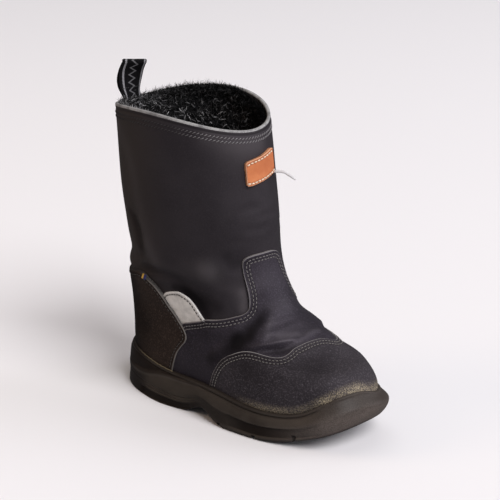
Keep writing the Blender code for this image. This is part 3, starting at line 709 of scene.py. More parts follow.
collarThread = threadFinish("collarThread", (0.240, 0.228, 0.232), fade=(0.030, 0.056))
vampThread = threadFinish("vampThread", (0.190, 0.175, 0.172))
capThread = threadFinish("capThread", (0.180, 0.165, 0.155))
counterThread = threadFinish("counterThread", (0.070, 0.062, 0.055))
loopThread = threadFinish("loopThread", (0.045, 0.045, 0.047))
darkThread = threadFinish("darkThread", (0.034, 0.031, 0.030))
creamThread = threadFinish("creamThread", (0.98, 0.80, 0.60))
tanThread = threadFinish("tanThread", (0.20, 0.16, 0.095), fade=(-0.020, -0.002))
paleThread = threadFinish("paleThread", (0.80, 0.78, 0.78))
print("finishes made")


# The leg and foot bag: leather outside, a cut edge at the collar and a fleece lining
def makeLeg():
    leg = {
        "columns": 300,
        "levels": np.concatenate((np.linspace(0, 9.6, 160), np.linspace(9.63, 10, 16))),
        "edge": ((-0.08, 0.36, 1), (-0.40, 0.60, 1), (-1.05, 0.70, 1), (-1.70, 0.58, 1),
                 (-2.10, 0.25, 1), (-2.20, -0.6, 1), (-2.20, -3.0, 0)),  # inward, up in mm, finish
        "cutRows": 1,
        "bandGroove": (2.7, 0.45, 0.28),  # below the rim, width and depth in mm
    }
    angles = np.arange(leg["columns"]) * 360 / leg["columns"]
    angle, level = np.meshgrid(angles, leg["levels"])
    point, out, _, _ = skinFrame(angle, level)
    belowRim = (skin(angles, topLevel)[None, :, 2] - point[..., 2]) * 1000
    where, width, depth = leg["bandGroove"]
    form = relief(angle, level, leather["vampCreases"])
    height = form - depth / 1000 * bell(belowRim, where, width)
    rows = [point + out * height[..., None]]
    _, rimOut, _, rimUp = skinFrame(angles, np.full(len(angles), float(topLevel)))
    rimPoint = rows[0][-1]
    for inward, up, _ in leg["edge"]:
        rows.append((rimPoint + (rimOut * inward + rimUp * up) / 1000)[None])
    points = np.concatenate(rows)
    faces = gridFaces(len(points), len(angles), closed=True)
    rimRow = len(leg["levels"]) - 1
    finishOf = np.zeros((len(points) - 1, len(angles)), int)
    finishOf[rimRow - leg["cutRows"]:rimRow] = 1
    finishOf[rimRow:] = np.array([finish for _, _, finish in leg["edge"]])[:, None]
    empty = np.zeros((len(leg["edge"]), len(angles)))
    values = {"edge": belowRim, "form": form * 1000, "toneAndPaintedLight": paintedLightOf(angle, level)}
    values = {key: np.concatenate((value, empty)).ravel() for key, value in values.items()}
    piece = makePiece("legLeather", points.reshape(-1, 3), faces, [legFinish, collarEdge],
                      finishOf.ravel(), values)
    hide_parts("upper")
    return piece


def fleeceFinish():
    finish, tree, shader = newFinish("fleece", (0.012, 0.012, 0.013), 0.95, 0.05)
    curls = noise(tree, ownPlace(tree), 420.0, 6.0, 0.75, 1.2)
    color = mixColor(tree, spread(tree, curls, 0.42, 0.72), (0.003, 0.003, 0.0032), (0.050, 0.050, 0.053))
    tree.links.new(color, shader.inputs["Base Color"])
    bumpOn(tree, shader, curls, 0.9, 0.0012)
    return finish


def hairFinish():
    finish, tree, shader = newFinish("fleeceHair", (0.03, 0.03, 0.03), 0.85, 0.08)
    toneAndPaintedLight = attributeOf(tree, "toneAndPaintedLight")
    color = mixColor(tree, toneAndPaintedLight, (0.0035, 0.0035, 0.0038), (0.58, 0.57, 0.58))
    tree.links.new(color, shader.inputs["Base Color"])
    return finish


liningDepth, liningFall = 0.0019, 0.0006  # behind the leather's face, and more below the rim


def liningAt(angle, level):
    point, out, roundBoot, up = skinFrame(angle, level)
    depth = liningDepth + liningFall * smoothStep(topLevel - level, 0.0, 0.12)
    return point - out * depth[..., None], out, roundBoot, up


def makeLining():
    lining = {"columns": 240, "levels": np.linspace(0.45, 9.99, 150), "nub": 0.00026}
    angles = np.arange(lining["columns"]) * 360 / lining["columns"]
    angle, level = np.meshgrid(angles, lining["levels"])
    point, out, _, _ = liningAt(angle, level)
    nubs = seeded.normal(0, lining["nub"], angle.shape)
    height = relief(angle, level) + nubs
    points = point + out * height[..., None]
    faces = gridFaces(len(points), len(angles), closed=True)[:, ::-1]
    makePiece("fleeceLining", points.reshape(-1, 3), faces, [fleeceFinish()])


def makePile():
    pile = {
        "count": 34000, "length": (0.0024, 0.0056), "width": (0.00018, 0.00046),
        "top": 9.97, "reach": 3.3,
        "overRim": 2600, "overRimLevels": (9.93, 9.99),
        "backHair": 4600, "backAngle": (-30, 42), "backLevels": (9.86, 9.99),  # up round the loop
        "tones": (0.02, 0.12, 0.40, 0.9), "toneShares": (0.52, 0.22, 0.16, 0.10),
    }
    count = pile["count"]
    angle = seeded.uniform(0, 360, count)
    level = pile["top"] - pile["reach"] * seeded.uniform(0, 1, count) ** 1.25
    over = slice(0, pile["overRim"])
    level[over] = seeded.uniform(*pile["overRimLevels"], pile["overRim"])
    back = slice(pile["overRim"], pile["overRim"] + pile["backHair"])
    angle[back] = seeded.normal(*pile["backAngle"], pile["backHair"])
    level[back] = seeded.uniform(*pile["backLevels"], pile["backHair"])
    frontDrop = 0.11 * smoothStep(skin(angle, level)[:, 0], 0.010, 0.040)
    level = level - frontDrop * smoothStep(level, 9.80, 9.92)
    root, out, roundBoot, up = liningAt(angle, level)
    lean = seeded.normal(0, 1, (count, 3))
    inward = seeded.uniform(0.25, 1.0, count)
    heading = -out * inward[:, None] + roundBoot * lean[:, :1] * 0.9 + up * (lean[:, 1:2] * 0.8 + 0.1)
    heading[over] += up[over] * 0.9
    heading[back] += up[back] * seeded.uniform(0.4, 1.6, pile["backHair"])[:, None]
    heading = unit(heading)
    curl = unit(heading + seeded.normal(0, 0.55, (count, 3)) - up * 0.15)
    length = seeded.uniform(*pile["length"], count)[:, None]
    length[over] *= 0.75
    length[back] *= 1.2
    width = seeded.uniform(*pile["width"], count)[:, None]
    side = unit(np.cross(heading, seeded.normal(0, 1, (count, 3)))) * width / 2
    middle = root + heading * length * 0.5
    tip = middle + curl * length * 0.5
    points = np.stack((root - side, root + side, middle + side * 0.8, middle - side * 0.8, tip), 1)
    start = np.arange(count)[:, None] * 5
    quads = (start + np.array([0, 1, 2, 3])).tolist()
    tips = (start + np.array([3, 2, 4])).tolist()
    toneAndPaintedLight = seeded.choice(pile["tones"], count, p=pile["toneShares"])
    # painted shade on the hair: darker toward the front, and on the inner side near the rim
    toneAndPaintedLight = toneAndPaintedLight * (1 - 0.88 * smoothStep(root[:, 0], -0.010, 0.045))
    toneAndPaintedLight = toneAndPaintedLight * (1 - 0.75 * smoothStep(root[:, 1], 0.012, 0.032) * smoothStep(level, 9.45, 9.85))
    toneAndPaintedLight = np.repeat(toneAndPaintedLight * seeded.uniform(0.7, 1.3, count), 5)
    makePiece("fleecePile", points.reshape(-1, 3), quads + tips, [hairFinish()],
              values={"toneAndPaintedLight": toneAndPaintedLight})


leg = makeLeg()
makeLining()
makePile()
print("leg, lining and pile made")


# Panels cut from the skin. Edges are (angle, level) pairs on the outer side, and a level of
# None is at the sole's rim.
panels = {
    "dip": 0.14,  # levels that a panel's foot goes down into the sole
    "tuck": 0.16,  # levels that one panel goes on under the next
    "sunk": 0.4,  # mm that a cut edge goes on below the face it lies on
    "capSide": ((88, None), (88.2, 0.60), (89.2, 1.04), (92, 1.50), (96.3, 2.00), (101, 2.44)),
    "capTop": ((101, 2.44), (107, 2.92), (115, 3.29), (122, 3.43), (127, 3.40), (132.5, 3.33), (138.5, 3.35),
               (145, 3.50), (152.5, 3.74), (163, 3.90), (172, 3.95), (180, 3.92)),
    "capTopIn": ((180, 3.92), (187, 3.80), (194, 3.62), (202, 3.50), (213, 3.42), (226, 3.40), (238, 3.43),
                 (247, 3.28), (254, 2.90), (259, 2.44)),
    "counterLow": ((65, None), (66.5, 0.90), (70, 1.60), (75, 2.16), (79.5, 2.84), (81, 3.40)),
    "counterHigh": ((81, 3.40), (80.4, 3.90), (80.7, 4.50), (80.3, 5.05)),
    "counterTop": ((0, 5.32), (29, 5.42), (48, 5.72), (62, 5.92), (71, 5.74), (77, 5.42), (80.3, 5.05)),
    "vampRear": ((81, 3.74), (92.5, 4.18), (107, 4.70)),
    "vampSide": ((107, 4.70), (120, 4.94), (132.5, 5.16)),
    "vampTab": ((132.5, 5.16), (142, 5.31), (147.5, 5.50), (150.7, 5.78), (152.3, 6.20), (152.7, 6.70),
                (153.5, 7.08), (158, 7.23), (168, 7.27), (180, 7.26)),
    "vampTabIn": ((227.5, 5.16), (216, 5.34), (207, 5.58), (201, 5.90), (198, 6.26), (196, 6.65),
                  (193.5, 7.02), (188, 7.20), (180, 7.26)),
    "reflectorLow": ((78, 3.60), (90, 3.96), (105.0, 4.50)),
    "reflectorRear": ((78, 3.60), (77.4, 4.10), (77.4, 4.60), (77.4, 5.12)),
    "reflectorTop": ((77.4, 5.12), (82, 5.38), (88.5, 5.55), (95, 5.64)),
    "reflectorFront": ((105.0, 4.50), (105.6, 4.82), (105.3, 5.12), (104.2, 5.34), (101.6, 5.53),
                       (95, 5.64)),
}


def edgePoints(edge, count):
    edge = [(angle, float(rimLevel(angle)) - panels["dip"] if level is None else level)
            for angle, level in edge]
    return smoothRows(edge, np.linspace(0, len(edge) - 1, count))


def rimPoints(first, last, count):
    angles = np.linspace(first, last, count)
    return np.stack((angles, rimLevel(angles) - panels["dip"]), -1)


def opposite(edge):
    return [(360 - angle, level) for angle, level in edge]


def mirrored(points):
    return np.concatenate((points, (2 * points[-1, 0], 0) + points[-2::-1] * (-1, 1)))


def panelGrid(low, high, left, right, passes=12):  # a Coons patch, relaxed to even cells
    u = np.linspace(0, 1, len(low))[None, :, None]
    v = np.linspace(0, 1, len(left))[:, None, None]
    grid = low * (1 - v) + high * v + left[:, None] * (1 - u) + right[:, None] * u
    grid = grid - (low[0] * (1 - u) + low[-1] * u) * (1 - v) - (high[0] * (1 - u) + high[-1] * u) * v
    for _ in range(passes):
        inner = grid[:-2, 1:-1] + grid[2:, 1:-1] + grid[1:-1, :-2] + grid[1:-1, 2:]
        grid[1:-1, 1:-1] = inner / 4
    return grid


def finerGrid(grid, rowCount, columnCount):
    grid = smoothRows(grid, np.linspace(0, len(grid) - 1, rowCount))
    grid = smoothRows(grid.transpose(1, 0, 2), np.linspace(0, grid.shape[1] - 1, columnCount))
    return grid.transpose(1, 0, 2)


def borderOf(rowCount, columnCount):  # the points round a grid, by its low, right, high and left sides
    low = [(0, i) for i in range(columnCount)]
    right = [(j, columnCount - 1) for j in range(1, rowCount)]
    high = [(rowCount - 1, i) for i in range(columnCount - 2, -1, -1)]
    left = [(j, 0) for j in range(rowCount - 2, 0, -1)]
    starts = np.cumsum([0, len(low), len(right), len(high), len(left)])
    return np.array(low + right + high + left), dict(zip(("low", "right", "high", "left"),
                                                         zip(starts, starts[1:])))


def nearest(points, line):
    parts = [np.linalg.norm(part[:, None] - line[None], axis=2).min(1)
             for part in np.array_split(points, max(len(points) // 800, 1))]
    return np.concatenate(parts)


def carriedOn(grid, border, repeats):  # a grid of values with those of its border again for each loop
    return np.concatenate([grid.ravel()] + [grid[border[:, 0], border[:, 1]]] * repeats)


def makePanel(name, grid, look):  # a panel with a rounded, cut edge; gives its seam lines too
    rowCount, columnCount = look["size"]
    grid = finerGrid(grid, rowCount, columnCount)
    if "rounding" in look:
        v, u = np.meshgrid(np.linspace(-1, 1, rowCount), np.linspace(-1, 1, columnCount), indexing="ij")
        pull = (np.abs(u * v) ** 12)[..., None] * look["rounding"]
        grid = grid - pull * (grid - grid.reshape(-1, 2).mean(0))
    angle, level = grid[..., 0], grid[..., 1]
    point, out, _, _ = skinFrame(angle, level)
    form = relief(angle, level, look.get("creases", ()))
    lift = look["proud"] / 1000 + form
    outer = point + out * lift[..., None]
    border, sides = borderOf(rowCount, columnCount)
    j, i = border[:, 0], border[:, 1]
    edge, edgeOut = outer[j, i], out[j, i]
    inward = unit(outer[np.clip(j, 1, rowCount - 2), np.clip(i, 1, columnCount - 2)] - edge)
    lip = look.get("lip", 0.6) / 1000
    outer[j, i] = edge + inward * lip
    depth = look["proud"] + panels["sunk"]
    # share of the lip inwards, drop in mm and finish of the loops down the edge
    profile = ((0.55, 0.05, 0), (0.14, 0.26, 0), (0.0, look.get("turn", 0.55), 0), (-0.02, depth, 1))
    loops = [edge + inward * lip * share - edgeOut * drop / 1000 for share, drop, _ in profile]
    points = np.concatenate([outer.reshape(-1, 3)] + loops)
    faces = gridFaces(rowCount, columnCount).tolist()
    finishOf = [0] * len(faces)
    flat, count = rowCount * columnCount, len(border)
    rings = [j * columnCount + i] + [flat + k * count + np.arange(count) for k in range(len(loops))]
    for (_, _, finish), near, far in zip(profile, rings, rings[1:]):
        faces += np.stack((far, np.roll(far, -1), np.roll(near, -1), near), -1).tolist()
        finishOf += [finish] * count
    shown = []
    for side in look["shown"]:
        start, end = sides[side]
        take = np.arange(start - 1, end + 1) % count
        across = unit(np.cross(edgeOut[take], np.gradient(edge[take], axis=0)))
        shown.append((edge[take], across * np.sign((across * inward[take]).sum())))
    line = np.concatenate([evenPath(path, 0.0004) for path, _ in shown])
    edgeValue = np.concatenate((nearest(outer.reshape(-1, 3), line), np.zeros(count * len(loops)))) * 1000
    aboveSole = (points[:, 2] - rimHeight(points[:, 0], points[:, 1])) * 1000
    j, i = rowCount // 2, columnCount // 2
    if np.dot(np.cross(outer[j, i + 1] - outer[j, i], outer[j + 1, i] - outer[j, i]), out[j, i]) < 0:
        faces = [face[::-1] for face in faces]
    piece = makePiece(name, points, faces, look["finishes"], finishOf,
                      {"edge": edgeValue, "sole": aboveSole,
                       "form": carriedOn(form * 1000, border, len(loops)),
                       "toneAndPaintedLight": carriedOn(paintedLightOf(angle, level), border, len(loops))})
    seams = []
    for inset in look["seams"]:
        for path, turned in shown:
            row = path + turned * inset / 1000
            clear = nearest(row, line) > inset * 0.00094  # ends where another edge comes nearer
            keep = clear & (row[:, 2] > rimHeight(row[:, 0], row[:, 1]) + 0.0008)
            if keep.sum() > 4:
                seams.append(row[keep])
    for node in look["replaces"]:
        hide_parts(node)
    return piece, seams


# Stitches: short threads in a row that dip into the hide at both ends
def makeStitches(name, rows, finish, length=1.9, pitch=2.7, radius=0.32, slant=0.0):
    # place along the stitch, height and thickness as shares of its radius
    bends = ((-0.5, -0.9, 0.5), (-0.34, 0.3, 0.95), (0.0, 0.6, 1.0), (0.34, 0.3, 0.95), (0.5, -0.9, 0.5))
    length, pitch, radius = length / 1000, pitch / 1000, radius / 1000
    points, faces = [], []
    count = 0
    for surface, path in rows:
        path, _ = settle(surface, evenPath(path, pitch / 4))
        marks = evenPath(path, pitch)
        centres, normals = settle(surface, (marks[1:] + marks[:-1]) / 2)
        headings = unit(marks[1:] - marks[:-1])
        twists = slant + seeded.normal(0, 0.05, len(centres))
        for centre, normal, heading, twist in zip(centres, normals, headings, twists):
            heading = heading + np.cross(normal, heading) * twist
            line = np.array([centre + heading * length * at + normal * radius * up for at, up, _ in bends])
            tube, tubeFaces = tubeAlong(line, np.tile(normal, (len(bends), 1)),
                                        [radius * r for _, _, r in bends], start=count)
            points.append(tube)
            faces += tubeFaces
            count += len(tube)
    return makePiece(name, np.concatenate(points), faces, [finish])


def tucked(points, shift):  # an edge carried on under its neighbour
    return points + np.array(shift)


tuck = panels["tuck"]
capSide, capSideIn = edgePoints(panels["capSide"], 8), edgePoints(opposite(panels["capSide"]), 8)
capTop = np.concatenate((edgePoints(panels["capTop"], 16), edgePoints(panels["capTopIn"], 16)[1:]))
capLook = {
    "size": (70, 240), "proud": 2.6, "shown": ("right", "high", "left"), "seams": (2.3, 4.3),
    "finishes": [capFinish, capEdge], "slot": "cap_leather", "replaces": ("toe_cap",),
}
cap, capSeams = makePanel("toeCap", panelGrid(rimPoints(88, 272, 31), capTop, capSide, capSideIn), capLook)

low, lowIn = edgePoints(panels["counterLow"], 7), edgePoints(opposite(panels["counterLow"]), 7)
high, highIn = edgePoints(panels["counterHigh"], 4), edgePoints(opposite(panels["counterHigh"]), 4)
counterOut = np.concatenate((low, high[1:]))
counterIn = np.concatenate((lowIn, highIn[1:])) - (360, 0)
counterTop = mirrored(edgePoints(panels["counterTop"], 12)[::-1])
counterLook = {
    "size": (70, 150), "proud": 2.6, "shown": ("right", "high", "left"), "seams": (2.2,),
    "finishes": [counterFinish, counterEdge], "slot": "counter_leather", "replaces": ("heel_counter",),
    "turn": 0.8,
}
counter, counterSeams = makePanel(
    "heelCounter", panelGrid(rimPoints(65, -65, 23), counterTop, counterOut, counterIn), counterLook)

capUnder, capUnderIn = tucked(capSide, (3.5, -0.05)), tucked(capSideIn, (-3.5, -0.05))
capLow = tucked(capTop, (0, -tuck))
capLow[0], capLow[-1] = capUnder[-1], capUnderIn[-1]
vampFoot = np.concatenate((rimPoints(62, 91.5, 4)[:-1], capUnder[:-1], capLow, capUnderIn[-2::-1],
                           rimPoints(268.5, 298, 4)[1:]))
vampRear = edgePoints(panels["vampRear"], 11)
vampSide = np.concatenate((vampRear[:-1], edgePoints(panels["vampSide"], 4)[:-1]))
vampTop = np.concatenate((vampSide, edgePoints(panels["vampTab"], 13)[:-1],
                          edgePoints(panels["vampTabIn"], 13)[::-1], opposite(vampSide[::-1])))
vampLook = {
    "size": (104, 420), "proud": 1.7, "shown": ("high",), "seams": (2.3, 4.3),
    "finishes": [vampFinish, vampEdge], "slot": "vamp_leather", "replaces": ("vamp",),
    "creases": leather["vampCreases"],
}
vampLow, vampLowIn = tucked(low, (-4, 0)), tucked(lowIn, (4, 0))
vampTop[0], vampTop[-1] = vampLow[-1], vampLowIn[-1]
vamp, vampSeams = makePanel("vamp", panelGrid(vampFoot, vampTop, vampLow, vampLowIn), vampLook)
print("cap, counter and vamp made")


def reflectorFinish():
    look = {"color": (0.56, 0.535, 0.50), "shade": (0.42, 0.40, 0.375), "seams": (1.9,)}
    finish, tree, shader = newFinish("reflectorFabric", look["color"], 0.5, Sheen_Weight=0.1)
    coords = ownPlace(tree)
    cloud = noise(tree, coords, 150.0, 4.0, 0.65)
    beads = node(tree, "TexVoronoi", {"Vector": coords, "Scale": 2600.0}).outputs["Distance"]
    color = mixColor(tree, spread(tree, cloud, 0.32, 0.68), look["shade"], look["color"])
    edge = attributeOf(tree, "edge")
    height = times(tree, beads, 0.25)
    for row in look["seams"]:
        dip = place(tree, seam, Edge=edge, Row=row, Width=0.55).outputs["Dip"]
        # painted shade in the stitch groove
        color = mixColor(tree, times(tree, dip, 0.4), color, (0.10, 0.095, 0.09))
        height = mathNode(tree, "SUBTRACT", height, dip)
    color = mixColor(tree, spread(tree, edge, 0.3, 1.1, 0.55, 0.0), color, (0.62, 0.60, 0.58))
    tree.links.new(color, shader.inputs["Base Color"])
    bumpOn(tree, shader, height, 0.5, 0.0003)
    return finish


reflectorEdge = cutEdgeFinish("reflectorCutEdge", (0.66, 0.64, 0.62), (0.36, 0.345, 0.33))
reflectorLook = {
    "size": (50, 80), "proud": 0.95, "shown": ("high", "right"), "seams": (1.9,), "lip": 0.5,
    "turn": 0.35, "finishes": [reflectorFinish(), reflectorEdge], "slot": "reflector_fabric",
    "replaces": ("reflector",),
}
reflectorEdges = [edgePoints(panels["reflector" + side], count)
                  for side, count in (("Low", 12), ("Top", 12), ("Rear", 9), ("Front", 9))]
reflector, reflectorSeams = makePanel("reflector", panelGrid(*reflectorEdges), reflectorLook)


def patchFinish():
    look = {"color": (0.37, 0.102, 0.034), "dark": (0.22, 0.052, 0.018), "pale": (0.56, 0.20, 0.078)}
    finish, tree, shader = newFinish("patchLeather", look["color"], 0.52, 0.2)
    hide = place(tree, grain, Scale=1500.0, Pores=0.7)
    rubs = place(tree, scuffs, Scale=160.0, Cover=0.5)
    cloud = spread(tree, hide.outputs["Cloud"], 0.3, 0.7)
    color = mixColor(tree, cloud, look["color"], look["pale"])
    color = mixColor(tree, times(tree, rubs.outputs["Mask"], 0.35), color, look["dark"])
    edge = attributeOf(tree, "edge")
    dip = place(tree, seam, Edge=edge, Row=1.7, Width=0.6).outputs["Dip"]
    # painted shade in the stitch groove
    color = mixColor(tree, times(tree, dip, 0.7), color, look["dark"])
    # painted highlight along the rounded rim
    color = mixColor(tree, spread(tree, edge, 0.1, 0.9, 0.5, 0.0), color, (0.85, 0.50, 0.32))
    tree.links.new(color, shader.inputs["Base Color"])
    height = mathNode(tree, "SUBTRACT", times(tree, hide.outputs["Height"], 0.25), dip)
    bumpOn(tree, shader, height, 0.5, 0.0003)
    return finish


def makePatch():
    patch = {"middle": 178.4, "halfAngle": 16.5, "levels": (8.94, 9.47), "slope": 0.080,
             "rounding": (0.055, 0.11)}
    v, u = np.meshgrid(np.linspace(-1, 1, 5), np.linspace(-1, 1, 9), indexing="ij")
    low, high = patch["levels"]
    level = (low + high) / 2 + (high - low) / 2 * v + patch["slope"] * u
    grid = np.stack((patch["middle"] + patch["halfAngle"] * u, level), -1)
    look = {
        "size": (44, 80), "proud": 2.3, "shown": ("low", "high"), "seams": (1.6,), "lip": 0.5,
        "turn": 0.6, "finishes": [patchFinish(), patchEdge], "slot": "patch_leather",
        "replaces": ("front_patch",), "rounding": patch["rounding"],
    }
    return makePanel("frontPatch", grid, look)


patch, patchSeams = makePatch()

legSurface, capSurface, vampSurface = surfaceOf(leg), surfaceOf(cap), surfaceOf(vamp)
counterSurface, reflectorSurface, patchSurface = surfaceOf(counter), surfaceOf(reflector), surfaceOf(patch)
collarSeams = [skin(np.arange(361.0), level) for level in (9.85, 9.775)]
makeStitches("collarStitches", [(legSurface, row) for row in collarSeams], collarThread,
             length=1.9, pitch=2.45, radius=0.27, slant=0.75)
makeStitches("vampStitches", [(vampSurface, row) for row in vampSeams], vampThread)
makeStitches("capStitches", [(capSurface, row) for row in capSeams], capThread,
             length=1.7, pitch=2.4)
makeStitches("counterStitches", [(counterSurface, row) for row in counterSeams], counterThread)
makeStitches("reflectorStitches", [(reflectorSurface, row) for row in reflectorSeams], darkThread,
             length=1.5, pitch=2.3, radius=0.30)
makeStitches("patchStitches", [(patchSurface, row) for row in patchSeams], creamThread,
             length=1.9, pitch=2.8, radius=0.48)
print("reflector, patch and stitches made")


# The moulded sole
def rubberFinish():
    look = {
        "color": (0.0170, 0.0125, 0.0100), "second": (0.0250, 0.0195, 0.0155),
        "worn": (0.050, 0.041, 0.035), "dust": (0.138, 0.113, 0.101),
        "deep": (0.0095, 0.0052, 0.0034), "band": (0.047, 0.037, 0.029),
    }
    finish, tree, shader = newFinish("soleRubber", look["color"], 0.5, 0.17)
    coords = ownPlace(tree)
    ahead = forwardOf(tree, coords)
    cloud = noise(tree, coords, 45.0, 5.0, 0.62)
    speck = noise(tree, coords, 1500.0, 3.0, 0.7)
    rubs = place(tree, scuffs, Scale=70.0, Cover=0.55)
    color = mixColor(tree, spread(tree, cloud, 0.32, 0.68), look["color"], look["second"])
    # painted shade in the low places of the side
    color = mixColor(tree, times(tree, attributeOf(tree, "low"), 0.72), color, look["deep"])
    # painted light: the band of the side is lighter
    banded = times(tree, attributeOf(tree, "band"), spread(tree, cloud, 0.3, 0.65, 0.3, 0.9))
    color = mixColor(tree, banded, color, look["band"])
    # the ridges are lighter, partly rubbed wear and partly painted highlight
    ridge = attributeOf(tree, "ridge")
    worn = times(tree, ridge, spread(tree, cloud, 0.25, 0.6, 0.25, 0.9))
    color = mixColor(tree, worn, color, look["worn"])
    color = mixColor(tree, times(tree, rubs.outputs["Mask"], 0.30), color, look["worn"])
    # darker toward the heel's back
    color = mixColor(tree, spread(tree, ahead, -0.008, -0.028, 0.0, 0.75), color, look["deep"])
    settled = spread(tree, speck, 0.35, 0.65, 0.35, 0.95)
    settled = times(tree, spread(tree, ahead, 0.100, 0.150), settled)
    settled = times(tree, settled, attributeOf(tree, "bumper"))
    color = mixColor(tree, times(tree, settled, 0.75), color, look["dust"])
    tree.links.new(color, shader.inputs["Base Color"])
    rough = spread(tree, cloud, 0.3, 0.7, 0.42, 0.55)
    rough = mathNode(tree, "ADD", rough, times(tree, settled, 0.15))
    tree.links.new(rough, shader.inputs["Roughness"])
    bumpOn(tree, shader, speck, 0.25, 0.0002)
    return finish


sole = {
    "columns": 360,
    "rows": 96,
    # share of the height and millimetres outwards, in the heel, waist, ball and toe
    "side": (
        ((0.000, 6.2), (0.000, 1.8), (0.000, 3.6), (0.000, 2.2)),  # ground
        ((0.012, 7.1), (0.020, 2.9), (0.015, 4.9), (0.012, 4.0)),  # ground edge
        ((0.080, 7.1), (0.120, 3.8), (0.100, 5.9), (0.070, 6.2)),  # tread side
        ((0.220, 6.7), (0.280, 4.4), (0.300, 6.1), (0.220, 8.4)),  # tread top
        ((0.320, 6.5), (0.380, 4.8), (0.420, 6.2), (0.340, 9.4)),  # under the ledge
        ((0.420, 6.7), (0.460, 5.3), (0.560, 6.5), (0.460, 9.9)),  # ledge
        ((0.520, 6.7), (0.560, 5.5), (0.660, 6.4), (0.590, 9.8)),  # band
        ((0.680, 6.4), (0.720, 5.5), (0.760, 6.1), (0.710, 8.3)),  # slope
        ((0.840, 5.8), (0.850, 5.2), (0.860, 5.6), (0.830, 6.2)),  # crest
        ((0.900, 5.2), (0.910, 5.0), (0.920, 5.0), (0.900, 5.1)),  # under the lip
        ((0.940, 4.8), (0.945, 4.9), (0.950, 4.9), (0.930, 4.7)),  # lip
        ((0.985, 4.1), (0.985, 4.6), (0.985, 4.6), (0.985, 4.2)),  # lip top
        ((1.000, 3.3), (1.000, 3.7), (1.000, 3.7), (1.000, 3.4)),  # rim
    ),
    # from and to share, depth in mm, from and to x of the steps in the side
    "steps": (
        (0.15, 0.52, 0.9, 0.076, 0.1365), (0.86, 0.91, 0.9, 0.050, 0.1365),
        (0.02, 0.22, 0.9, -0.004, 0.040), (0.27, 0.31, 0.4, 0.000, 0.046),
        (0.36, 0.40, 0.4, -0.060, 0.046),
    ),
    "stepSoft": (0.02, 0.002, 0.0012),  # half a step's blend: share, x behind and x ahead
    # x and share of the crest, the hollow above it and its depth in mm
    "crest": ((-0.040, 0.50), (-0.020, 0.54), (-0.008, 0.585), (0.003, 0.68), (0.011, 0.79),
              (0.020, 0.855), (0.030, 0.875), (0.160, 0.875)),
    "crestHollow": 1.5,
    "bed": (1.0, 0.75, 0.5, 0.25, 0.0),
    "grooveWidth": 0.0030,
    # x, half length, depth of the grooves across the tread
    "grooves": ((-0.0190, 0.024, 0.0030), (-0.0080, 0.024, 0.0030), (0.0080, 0.024, 0.0030),
                (0.0200, 0.024, 0.0030), (0.0680, 0.050, 0.0030), (0.0820, 0.024, 0.0022),
                (0.0960, 0.055, 0.0030), (0.1100, 0.024, 0.0040), (0.1240, 0.055, 0.0050)),
}


def soleWall(foot, outward):  # rows from the ground to the rim
    x = foot[:, 0]
    sizes = np.array([[zoned(x, part) for part in zip(*row)] for row in sole["side"]])
    share, out = np.moveaxis(smoothRows(sizes, np.linspace(0, len(sizes) - 1, sole["rows"])), 1, 0)
    soft, softBehind, softAhead = sole["stepSoft"]
    for low, high, depth, behind, ahead in sole["steps"]:
        across = inBand(share, (low - soft, low + soft), (high - soft, high + soft))
        along = inBand(x, (behind - softBehind, behind + softBehind), (ahead - softAhead, ahead + softAhead))
        out = out - depth * across * along
    crest = lineValue(sole["crest"], x)
    above = inBand(share, (crest + 0.01, crest + 0.07), (0.92, 0.975))
    out = out - (sole["crestHollow"] * above * smoothStep(x, -0.030, -0.006)
                 * (1 - smoothStep(x, 0.02, 0.05)))
    wall = foot[None] + outward[None] * out[..., None] / 1000
    below = underside(wall[..., 0])
    wall[..., 2] = below + (foot[None, :, 2] - below) * share
    return wall


def treadCutter():  # a box for each groove
    points, faces = [], []
    half = sole["grooveWidth"] / 2
    for k, (x, halfLength, depth) in enumerate(sole["grooves"]):
        floor = float(underside(np.array(x)))
        for cornerX in (x - half, x + half):
            for cornerY in (-halfLength, halfLength):
                points += [(cornerX, cornerY, floor - 0.004), (cornerX, cornerY, floor + depth)]
        faces += [[8 * k + c for c in face] for face in
                  ((0, 1, 3, 2), (4, 6, 7, 5), (0, 4, 5, 1), (2, 3, 7, 6), (0, 2, 6, 4), (1, 5, 7, 3))]
    return points, faces


def cutBy(points, faces, cutPoints, cutFaces):  # a mesh less another, as points and faces
    meshes = []
    for name, *shape in (("soleBody", points, faces), ("treadCut", cutPoints, cutFaces)):
        mesh = bpy.data.meshes.new(name)
        mesh.from_pydata(shape[0], [], shape[1])
        meshes.append(mesh)
    body, cutter = [newObject(mesh.name, mesh) for mesh in meshes]
    cut = body.modifiers.new("Tread", "BOOLEAN")
    cut.operation, cut.object, cut.solver = "DIFFERENCE", cutter, "EXACT"
    made = body.evaluated_get(bpy.context.evaluated_depsgraph_get()).to_mesh()
    points = np.array([vertex.co[:] for vertex in made.vertices])
    faces = [tuple(face.vertices) for face in made.polygons]
    for thing in (body, cutter):
        bpy.data.objects.remove(thing)
    for mesh in meshes:
        bpy.data.meshes.remove(mesh)
    return points, faces


